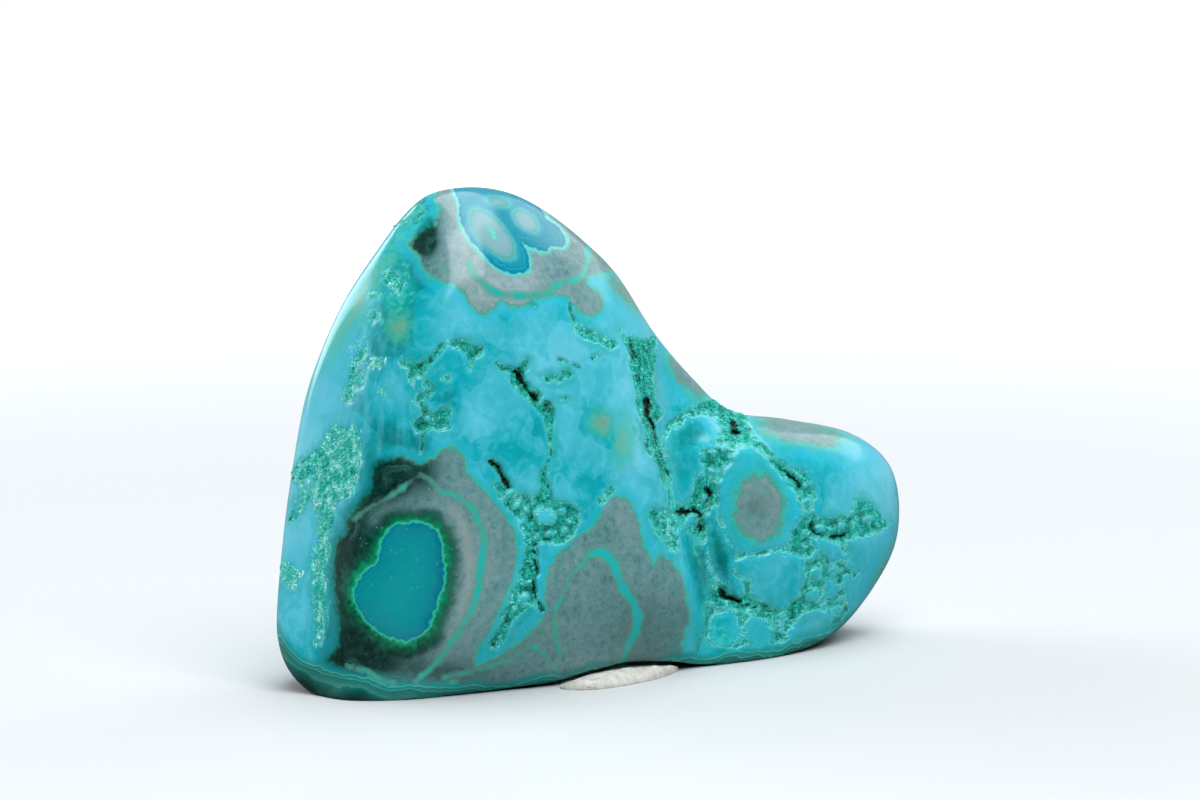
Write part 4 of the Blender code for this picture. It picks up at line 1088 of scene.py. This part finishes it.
def grey_zones(tree, colour, place, coarse, fine, tiny, knobbly):
    """Grey malachite with a pale blue halo, a green edge and faint bands inside, nearly black in places, and
    paler at the top with painted sheen.
    """
    mottle = shifted(tree, 0.0, (fine, 1.2), (tiny, 0.8), (coarse, 0.6))
    # Below 0, tone_and_sheen moves the grey up to its palest stops: painted sheen, mostly over the top zone.
    grey, _ = graded(
        tree, shifted(tree, mottle, (carried(tree, "tone_and_sheen"), -0.55, 0.0)),
        (-0.45, 66, 108, 106), (-0.1, 92, 136, 136), (0.2, 112, 148, 148), (0.5, 130, 156, 154),
        (0.9, 144, 172, 174), (1.4, 162, 186, 192),
    )
    dark, _ = graded(tree, mottle, (-0.4, 0, 30, 26), (0.0, 6, 50, 44), (0.4, 28, 72, 64))
    near_core = fade(tree, shifted(tree, carried(tree, "core"), (coarse, 1.6)), -2.2, -0.8)
    gloom = shifted(tree, carried(tree, "gloom"), (near_core, 0.6, 0.0), (coarse, 0.7), (fine, 0.3))
    grey = laid_over(tree, grey, fade(tree, gloom, 0.05, 1.0), dark)
    edge = carried(tree, "grey")
    edge = shifted(tree, edge, (coarse, 0.7), (fine, 0.55), (knobbly, 0.4, 0.4), (tiny, 0.2))
    colour = banded(
        tree, colour, edge,
        (-1.3, 34, 180, 202, 0.0), (-0.7, 44, 184, 206, 0.5), (-0.3, 36, 178, 188, 0.7),
        (-0.08, 64, 178, 158, 0.8), (0.08, 72, 156, 136, 0.95), (0.26, 98, 142, 128),
    )
    deep = banded(
        tree, colour, edge,
        (-1.6, 0, 132, 134, 0.0), (-0.8, 0, 128, 130, 0.7), (-0.3, 0, 118, 112, 0.95), (0.0, 0, 96, 78),
    )
    colour = laid_over(tree, colour, fade(tree, gloom, 0.45, 1.0), deep)
    colour = laid_over(tree, colour, fade(tree, edge, 0.05, 0.38), grey)
    gloomy_edge = times(tree, fade(tree, edge, -0.25, 0.15), fade(tree, gloom, 0.6, 1.2))
    colour = laid_over(tree, colour, gloomy_edge, dark)
    inner = banded(
        tree, colour, edge,
        (0.55, 50, 140, 118, 0.0), (0.75, 60, 150, 132, 0.45), (0.9, 76, 132, 120, 0.15),
        (1.15, 56, 140, 120, 0.3), (1.4, 60, 130, 114, 0.0),
    )
    colour = laid_over(tree, colour, fade(tree, cloud(tree, place, 3.5), 0.48, 0.62), inner)

    # A pale band of painted sheen on the fibrous grey, a little way out from the great core and right of its
    # middle.
    from_core = shifted(tree, carried(tree, "core"), (coarse, 0.6), (fine, 0.3))
    well_in = fade(tree, edge, 0.3, 0.6)
    right = add(tree, "SeparateXYZ", carried(tree, "sheet", "Vector"))
    fibrous = cloud(tree, drawn_out(tree, place, 1.0, 1.0, 0.2), 0.6)
    silk_sheen = times(
        tree, fade(tree, from_core, -3.6, -2.7), fade(tree, from_core, -1.7, -2.5),
        fade(tree, gloom, 0.5, 0.1), well_in, fade(tree, right, EYE_MIDDLE[0] + 2.0, EYE_MIDDLE[0] + 5.0),
        fade(tree, fibrous, 0.3, 0.6), 0.5,
    )
    colour = laid_over(tree, colour, silk_sheen, paint(150, 160, 152))

    # Chance specks of green in the grey.
    speck, chosen = cells(tree, place, 0.9)
    specks = times(tree, fade(tree, speck, 0.14, 0.06), fade(tree, chosen, 0.7, 0.72), well_in, 0.7)
    return laid_over(tree, colour, specks, paint(84, 170, 146))


def great_eye(tree, colour, coarse, fine, tiny, knobbly):
    """The blue core of the great eye, its scalloped bright rim, and the fine green rays outside it."""
    middle = add(tree, "VectorMath", carried(tree, "sheet", "Vector"), EYE_MIDDLE, operation="SUBTRACT")
    outwards = add(tree, "VectorMath", middle, operation="NORMALIZE")
    rays = add(tree, "TexNoise", outwards, None, 12.0, 5.0, 0.7)
    inside_core = carried(tree, "core")
    fringe = shifted(tree, inside_core, (rays, 1.5), (coarse, 1.4), (fine, 1.3), (knobbly, 0.8, 0.4))
    colour = banded(
        tree, colour, fringe,
        (-1.9, 20, 74, 60, 0.0), (-1.2, 10, 84, 62, 0.5), (-0.7, 0, 100, 70, 0.8),
        (-0.3, 0, 122, 82, 0.95), (0.3, 10, 140, 98),
    )
    core = shifted(tree, inside_core, (knobbly, 0.35, 0.4), (fine, 0.35), (tiny, 0.15))
    colour = banded(
        tree, colour, core,
        (-0.42, 0, 136, 96, 0.0), (-0.22, 10, 156, 110, 0.9), (-0.08, 52, 190, 150),
        (0.04, 20, 158, 150), (0.16, 0, 112, 138),
    )

    # The core is bluest along its right edge, and has a few pale dots.
    right = add(tree, "SeparateXYZ", middle)
    into_core = shifted(tree, inside_core, (coarse, 1.6), (fine, 1.4), (tiny, 1.0), (right, -0.16, 0.0))
    depths, _ = graded(
        tree, into_core,
        (-0.8, 0, 100, 128), (-0.1, 0, 123, 140), (0.6, 0, 136, 145), (1.6, 0, 142, 148),
        (3.6, 4, 150, 150),
    )
    colour = laid_over(tree, colour, fade(tree, core, 0.12, 0.3), depths)
    dot, chosen = cells(tree, middle, 0.5 / MM)
    well_in = fade(tree, inside_core, -3.5, -2.0)
    dots = times(tree, fade(tree, dot, 0.22, 0.1), fade(tree, chosen, 0.84, 0.86), well_in, 0.4)
    return laid_over(tree, colour, dots, paint(96, 190, 180))


def top_rings(tree, colour, fine, tiny, knobbly):
    """The blue rings at the top with their mint rim, and their grey hearts with a mint spark."""
    rings = shifted(tree, carried(tree, "rings"), (knobbly, 0.3, 0.4), (fine, 0.2))
    colour = banded(
        tree, colour, rings,
        (-0.45, 96, 180, 156, 0.0), (-0.18, 96, 186, 168, 0.6), (-0.06, 100, 200, 186),
        (0.06, 80, 186, 190), (0.16, 0, 124, 146), (0.45, 10, 140, 158), (0.54, 40, 158, 172),
        (0.62, 0, 128, 150), (0.9, 24, 146, 162), (1.1, 8, 134, 154), (2.0, 16, 140, 156),
    )
    heart = shifted(tree, carried(tree, "heart"), (fine, 0.3))
    colour = banded(
        tree, colour, heart,
        (-0.4, 40, 150, 174, 0.0), (-0.2, 56, 162, 178, 0.6), (-0.04, 76, 176, 168, 0.9),
        (0.1, 88, 150, 148), (0.18, 116, 164, 170), (0.26, 96, 164, 170), (0.36, 124, 166, 170),
    )
    spark = shifted(tree, carried(tree, "spark"), (tiny, 1.6), (fine, 0.8), (knobbly, 0.5, 0.4))
    return banded(
        tree, colour, spark,
        (0.0, 96, 180, 166, 0.0), (0.3, 90, 190, 170, 0.7), (0.7, 110, 216, 190, 0.9),
    )


def beds_and_veins(tree, colour, place, coarse, fine, knobbly):
    """The thin beds along the lower edge, darker toward the underside with painted shade, and the bright
    veins through the grey.
    """
    drift = cloud(tree, place, 7.0, 2.0)
    beds = shifted(tree, carried(tree, "beds"), (coarse, 1.0), (drift, 3.2), (fine, 0.25))
    # Far inside the beds, toward the underside, the darkest stops are painted shade.
    colour = banded(
        tree, colour, beds,
        (-0.8, 10, 140, 140, 0.0), (-0.35, 10, 136, 136, 0.6), (-0.05, 20, 146, 138, 0.9),
        (0.05, 84, 182, 162), (0.13, 22, 128, 120), (0.36, 40, 140, 134), (0.42, 80, 164, 148),
        (0.48, 20, 108, 100), (0.66, 48, 116, 108), (0.74, 6, 124, 110), (0.86, 44, 122, 114),
        (1.1, 60, 134, 124), (1.2, 8, 110, 96), (1.5, 20, 84, 78), (2.2, 8, 46, 42),
    )
    vein = shifted(tree, carried(tree, "vein"), (coarse, 0.9), (fine, 0.4), (knobbly, 0.2, 0.4))
    return banded(
        tree, colour, vein,
        (-0.45, 96, 146, 130, 0.0), (-0.22, 84, 152, 134, 0.6), (-0.08, 60, 166, 144, 0.9),
        (0.05, 36, 174, 164), (0.3, 28, 176, 178),
    )


def crevice_sugar(tree, colour, place, coarse, fine, tiny):
    """The crystals of the crevices, darker the deeper they lie with painted shade, with strays, and a paler
    rind round them.

    Returns the colour, how far the place is inside a crevice, where crystals cover it, and their height.
    """
    pale = carried(tree, "pale")
    raggedness = maths(tree, "MULTIPLY_ADD", pale, 0.8, 0.5)
    fibres = cloud(tree, drawn_out(tree, place, 1.0, 1.0, 0.25), 0.4, 4.0)
    frayed = times(tree, fade(tree, pale, 0.5, 1.0), 3.2)
    druse = shifted(tree, carried(tree, "druse"), (fine, raggedness), (tiny, 0.3), (fibres, frayed, 0.56))
    patchy = fade(tree, cloud(tree, place, 4.0), 0.42, 0.62)
    stained = times(tree, fade(tree, druse, -1.9, -0.2), patchy, 0.6)
    colour = laid_over(tree, colour, stained, paint(0, 156, 142))
    # A pale blue rind round each crevice; the mint line right at its edge is a painted highlight where the
    # polish rounds over.
    rind_and_edge_highlight = banded(
        tree, colour, druse,
        (-0.9, 60, 190, 210, 0.0), (-0.45, 60, 192, 212, 0.35), (-0.22, 40, 188, 200, 0.5),
        (-0.1, 110, 216, 212, 0.75), (-0.02, 70, 200, 180, 0.85),
    )
    colour = laid_over(tree, colour, fade(tree, coarse, 0.25, 0.5), rind_and_edge_highlight)
    grain, chance = cells(tree, place, 0.24)
    near = fade(tree, druse, -1.0, -0.1)
    stray = times(tree, fade(tree, chance, 0.86, 0.88), near, fade(tree, grain, 0.6, 0.4), 0.5)
    crystals = maths(tree, "MAXIMUM", fade(tree, druse, -0.05, 0.04), stray)
    # Painted shade: the deeper the crevice, the darker its crystals.
    gloom = add(tree, "MapRange", carried(tree, "cut"), *CREVICE_SHADE_DEPTHS, 0.0, 1.0)
    sugar = use_group(tree, SUGAR, Place=place, Chance=chance, Paleness=pale, Gloom=gloom)
    height = times(tree, maths(tree, "MULTIPLY_ADD", chance, 0.5, grain), crystals)
    return laid_over(tree, colour, crystals, sugar["Colour"]), druse, crystals, height


def stone_finish():
    """Each mineral laid over the one before, then crystals, the polisher's scratches and a satin polish."""
    material, tree, shader = new_finish("polished chrysocolla")
    place = add(tree, "TexCoord", output="Object")
    coarse, fine, tiny = (cloud(tree, place, size) for size in (2.2, 0.7, 0.22))
    knobbly = grapes(tree, place, 0.6)
    colour = teal_body(tree, place, fine)
    fleck = shifted(tree, carried(tree, "fleck"), (coarse, 1.2), (fine, 1.6), (tiny, 0.6))
    colour = banded(
        tree, colour, fleck,
        (-1.2, 30, 166, 150, 0.0), (-0.2, 60, 178, 150, 0.6), (0.5, 104, 172, 138, 0.8),
        (1.1, 130, 150, 120, 0.9),
    )
    colour = grey_zones(tree, colour, place, coarse, fine, tiny, knobbly)
    colour = great_eye(tree, colour, coarse, fine, tiny, knobbly)
    colour = top_rings(tree, colour, fine, tiny, knobbly)
    colour = beds_and_veins(tree, colour, place, coarse, fine, knobbly)
    colour, druse, crystals, sugar_height = crevice_sugar(tree, colour, place, coarse, fine, tiny)

    sheet = carried(tree, "sheet", "Vector")
    rubbed = add(tree, "VectorRotate", sheet, None, None, SCRATCH_TURN, rotation_type="Z_AXIS")
    streaks = cloud(tree, drawn_out(tree, rubbed, 0.06, 1.0, 1.0), 0.12 / MM, 2.0)
    scratches = times(tree, streaks, maths(tree, "SUBTRACT", 1.0, crystals))
    scratched = times(tree, fade(tree, scratches, 0.55, 0.75), 0.03)
    tree.links.new(laid_over(tree, colour, scratched, paint(200, 220, 216)), shader.inputs["Base Color"])

    # Satin, slightly uneven, and rough where it breaks over the crystals.
    satin = shifted(tree, 0.16, (fine, 0.08), (coarse, 0.06), (scratches, 0.1, 0.4), (crystals, 0.36, 0.0))
    tree.links.new(satin, shader.inputs["Roughness"])
    polish = fade(tree, druse, 0.1, -0.2)
    height = shifted(tree, polish, (sugar_height, 0.8, 0.0), (tiny, 0.02), (scratches, 0.02, 0.4))
    relief(tree, shader, height)
    return material


stone.data.materials.append(stone_finish())
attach(stone, "root")
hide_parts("stone")


# ---- The crevice crystals ------------------------------------------------------------------------
# Crystals of malachite a tenth of a millimetre or two across, which grew on the walls of the crevices. They
# stand every way up, half sunk in the stone that they grow from.

CRYSTALS = 20000
CRYSTAL_HALF = (0.06, 0.15)
CRYSTAL_STRETCH = (1.0, 2.0)
LEAST_INSIDE = 0.05
CRYSTAL_SEED = 21
CRYSTAL_TIPS = 6
CRYSTAL_FACES = np.array((
    (0, 1, 2), (1, 3, 2), (3, 4, 2), (4, 0, 2), (1, 0, 5), (3, 1, 5), (4, 3, 5), (0, 4, 5),
))


def crystal_seats(dice):
    """Chance squares in the crevices, by area, and a place in each: the shares of its four corners.

    The shares are (1 - u)(1 - v), u (1 - v), u v and (1 - u) v, for chance u and v.
    """
    squares = stone_faces[(stone_bands["druse"][stone_faces] > LEAST_INSIDE).all(1)]
    corners = stone_places[squares]
    area = np.linalg.norm(np.cross(corners[:, 2] - corners[:, 0], corners[:, 3] - corners[:, 1]), axis=1)
    chosen = dice.choice(len(area), CRYSTALS, p=area / area.sum())
    u, v = dice.uniform(size=(2, CRYSTALS))
    return squares[chosen], np.stack([(1 - u) * (1 - v), u * (1 - v), u * v, (1 - u) * v], 1)


def crystal_mesh():
    """Octahedra with tips at plus and minus a, a and b along chance axes f, f x g and f x (f x g)."""
    dice = np.random.default_rng(CRYSTAL_SEED)
    squares, shares = crystal_seats(dice)
    first, other = dice.normal(size=(2, CRYSTALS, 3))
    second = np.cross(first, other)
    axes = np.stack([first, second, np.cross(first, second)], 1)
    axes /= np.linalg.norm(axes, axis=-1, keepdims=True)
    half = dice.uniform(*CRYSTAL_HALF, CRYSTALS)
    halves = np.stack([half, half, half * dice.uniform(*CRYSTAL_STRETCH, CRYSTALS)], 1)
    tips = axes * halves[..., None]
    middles = (stone_places[squares] * shares[..., None]).sum(1)
    places = middles[:, None] + np.concatenate([tips, -tips], 1)
    faces = CRYSTAL_FACES + CRYSTAL_TIPS * np.arange(CRYSTALS)[:, None, None]
    each = {name: (stone_bands[name][squares] * shares).sum(1) for name in ("cut", "pale")}
    each["chance"] = dice.uniform(size=CRYSTALS)
    fields = {name: np.repeat(values, CRYSTAL_TIPS) for name, values in each.items()}
    crystals = mesh_of("crevice_crystals", places.reshape(-1, 3), faces.reshape(-1, 3).tolist(), fields)
    crystals.data.shade_flat()
    return crystals


def crystal_finish():
    """The same colours as the crystals drawn on the stone, with a duller shine."""
    material, tree, shader = new_finish("malachite crystals")
    place = add(tree, "TexCoord", output="Object")
    # Painted shade: each crystal darkens with the depth of its crevice.
    gloom = add(tree, "MapRange", carried(tree, "cut"), *CREVICE_SHADE_DEPTHS, 0.0, 1.0)
    chance = carried(tree, "chance")
    sugar = use_group(tree, SUGAR, Place=place, Chance=chance, Paleness=carried(tree, "pale"), Gloom=gloom)
    tree.links.new(sugar["Colour"], shader.inputs["Base Color"])
    tree.links.new(maths(tree, "MULTIPLY_ADD", chance, 0.3, 0.2), shader.inputs["Roughness"])
    shader.inputs["Specular IOR Level"].default_value = 0.35
    return material


crystals = crystal_mesh()
crystals.data.materials.append(crystal_finish())
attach(crystals, "root")


# ---- The putty -----------------------------------------------------------------------------------
# A pinch of cream-white mounting putty, squeezed under the hollow and out in front of the stone. It is soft
# and full of small pores, and only its own stickiness holds it.

PAD_OUTLINE = (
    (-5.2, -9.4), (-6.3, -11.2), (-5.5, -12.7), (-3.0, -13.6), (2.0, -12.8), (6.4, -10.9), (9.3, -8.4),
    (8.6, -6.2), (5.4, -4.9), (0.0, -5.3), (-3.9, -7.2),
)
PAD_MIDDLE = np.array((1.8, -9.3))
PAD_HEIGHT = 1.5
PAD_FULLNESS = 3.0
PAD_GAP = 0.4
PAD_SLOPE = 0.3
STONE_EDGE = -9.3
PAD_RINGS = 90
PAD_STEPS = 26

# Pores: how many, how far out they lie, how wide and deep they are, and how thick the pad is under them.
PORES = 150
PORE_SPREAD = (7.5, 4.5)
PORE_WIDTHS = (0.08, 0.26)
PORE_DEPTHS = (0.05, 0.30)
PORE_SEED = 3
THICK_ENOUGH = 0.35

# Slow swells: a share of the pad's height, and how fast each turns along X and Y, in radians to a millimetre.
SWELL = 0.05
SWELLS = ((1.9, 0.7), (1.3, -2.3))


def putty_places(turn_steps):
    """Rings drawn in from the outline, under a dome h (1 - s^3)^(1/3), pressed flat by the stone and dented.

    s runs from 0 in the middle to 1 at the outline, and the first ring is all at the middle.
    """
    outline = smooth_curve(PAD_OUTLINE, turn_steps)
    share = np.sin(np.arange(PAD_RINGS + 1) / PAD_RINGS * pi / 2)[:, None]
    flat = PAD_MIDDLE + (outline - PAD_MIDDLE) * share[..., None]
    dome = PAD_HEIGHT * (1 - share**PAD_FULLNESS).clip(0) ** (1 / PAD_FULLNESS)
    room = hollow_height(flat[..., 0]) - PAD_GAP + PAD_SLOPE * (STONE_EDGE - flat[..., 1]).clip(0)
    height = np.minimum(dome, room).clip(0)
    dice = np.random.default_rng(PORE_SEED)
    pores = PAD_MIDDLE + dice.uniform(-1, 1, (PORES, 2)) * PORE_SPREAD
    widths, depths = dice.uniform(*PORE_WIDTHS, PORES), dice.uniform(*PORE_DEPTHS, PORES)
    dents = np.zeros(height.shape)
    for pore, width, depth in zip(pores, widths, depths):
        dents = np.maximum(dents, depth * np.exp(-((flat - pore) ** 2).sum(-1) / width**2))
    lumpy = SWELL * (sum(np.sin(a * flat[..., 0] + b * flat[..., 1]) for a, b in SWELLS) - len(SWELLS))
    height = (height * (1 + lumpy) - dents * (height > THICK_ENOUGH)).clip(0)
    return np.concatenate([flat, height[..., None]], -1) - ORIGIN


def putty_mesh():
    """The top's rings, closed by the same outline drawn in to one point underneath."""
    rings = putty_places(PAD_STEPS)
    steps = rings.shape[1]
    top = rings[0, :1]
    under = top * (1, 1, 0)
    places = np.concatenate([top, rings[1:].reshape(-1, 3), under])
    spoke = np.arange(steps)
    after = (spoke + 1) % steps
    starts = 1 + np.arange(PAD_RINGS - 1)[:, None] * steps
    ends = starts + steps
    sides = np.stack([starts + spoke, ends + spoke, ends + after, starts + after], -1).reshape(-1, 4)
    last = 1 + (PAD_RINGS - 1) * steps
    cap = np.stack([np.zeros(steps, int), 1 + spoke, 1 + after], 1)
    base = np.stack([np.full(steps, len(places) - 1), last + after, last + spoke], 1)
    return mesh_of("mounting_putty", places, [*cap.tolist(), *sides.tolist(), *base.tolist()])


def putty_finish():
    """Mottled cream, matt, with pinholes."""
    material, tree, shader = new_finish("cream putty")
    place = add(tree, "TexCoord", output="Object")
    mottle = cloud(tree, place, 0.8, 4.0)
    colour, _ = graded(tree, mottle, (0.3, 186, 182, 170), (0.55, 208, 206, 196), (0.75, 224, 222, 214))
    pinholes = fade(tree, grapes(tree, place, 0.5), 0.24, 0.08)
    colour = laid_over(tree, colour, times(tree, pinholes, 0.35), paint(150, 142, 124))
    tree.links.new(colour, shader.inputs["Base Color"])
    shader.inputs["Roughness"].default_value = 0.8
    height = maths(tree, "MULTIPLY_ADD", cloud(tree, place, 0.4), 0.5, times(tree, pinholes, -0.6))
    relief(tree, shader, height)
    return material


putty = putty_mesh()
putty.data.materials.append(putty_finish())
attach(putty, "root")
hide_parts("putty_pad")


# ---- The floor and the light ---------------------------------------------------------------------
# A pale paper floor that goes to white round about, under four sheets of soft studio light: one overhead,
# one high in front, one low at the left behind the stone, and a faint one at the right. The room is dark in
# front, so that the polish mirrors the sheets alone.

FLOOR_HALF = 3000.0
FLOOR_CORNERS = ((-1, -1), (1, -1), (1, 1), (-1, 1))
WHITENING = (0.12, 0.9)
MIRROR_LOSS = 0.95
BLACK, WHITE = paint(0, 0, 0), paint(255, 255, 255)


def paper_finish():
    """Pale paper that turns to white away from the stone, and is nearly black where a polish mirrors it."""
    material, tree, shader = new_finish("pale paper")
    mirrored = add(tree, "LightPath", output="Is Glossy Ray")
    pale = laid_over(tree, paint(204, 206, 204), times(tree, mirrored, MIRROR_LOSS), BLACK)
    tree.links.new(pale, shader.inputs["Base Color"])
    shader.inputs["Roughness"].default_value = 0.6
    place = add(tree, "TexCoord", output="Object")
    away = add(tree, "VectorMath", place, operation="LENGTH", output="Value")
    shown = maths(tree, "MULTIPLY_ADD", mirrored, -MIRROR_LOSS, 1.0)
    glow = times(tree, fade(tree, away, *WHITENING), shown)
    tree.links.new(laid_over(tree, BLACK, glow, WHITE), shader.inputs["Emission Color"])
    shader.inputs["Emission Strength"].default_value = 1.0
    return material


floor_places = np.array([(x * FLOOR_HALF, y * FLOOR_HALF, 0.0) for x, y in FLOOR_CORNERS])
floor = mesh_of("floor", floor_places, [[0, 1, 2, 3]])
floor.data.materials.append(paper_finish())

DAYLIGHT = (0.96, 1.0, 1.07)
SHEET_AWAY = 1400.0


def light_sheet(name, turn, up, width, height, power):
    """A sheet of light that faces the stone from turn and up degrees, as in looks(), in mm and watts."""
    light = bpy.data.lights.new(name, "AREA")
    light.shape = "RECTANGLE"
    light.size = width * MM
    light.size_y = height * MM
    light.color = DAYLIGHT
    light.energy = power
    sheet = bpy.data.objects.new(name, light)
    sheet.location = Vector(looks(turn, up) * SHEET_AWAY * MM)
    sheet.rotation_euler = Vector(looks(turn, up)).to_track_quat("Z", "Y").to_euler()
    bpy.context.scene.collection.objects.link(sheet)


light_sheet("overhead_sheet", 108.0, 75.0, 1000.0, 1000.0, 11.0)
light_sheet("left_sheet", -148.0, 23.0, 1150.0, 520.0, 10.5)
light_sheet("front_sheet", -10.0, 58.0, 1300.0, 1000.0, 20.5)
light_sheet("right_sheet", 104.0, 34.0, 660.0, 600.0, 2.0)

DIM_ROOM = 0.40
DARK_ROOM = 0.01
DARK_MIDDLE = looks(-18.0, 8.0)
DARK_REACH = (-0.35, 0.45)


def studio():
    """The room: white where the camera sees it, and dim as light, nearly dark about DARK_MIDDLE."""
    room = bpy.data.worlds.new("studio")
    room.use_nodes = True
    tree = room.node_tree
    around = add(tree, "TexCoord", output="Generated")
    facing = add(tree, "VectorMath", around, tuple(DARK_MIDDLE), operation="DOT_PRODUCT", output="Value")
    dim = add(tree, "MapRange", facing, *DARK_REACH, DIM_ROOM, DARK_ROOM, interpolation_type="SMOOTHSTEP")
    strength = maths(tree, "MAXIMUM", dim, add(tree, "LightPath", output="Is Camera Ray"))
    tree.links.new(strength, tree.nodes["Background"].inputs["Strength"])
    tree.nodes["Background"].inputs["Color"].default_value = WHITE
    return room


bpy.context.scene.world = studio()
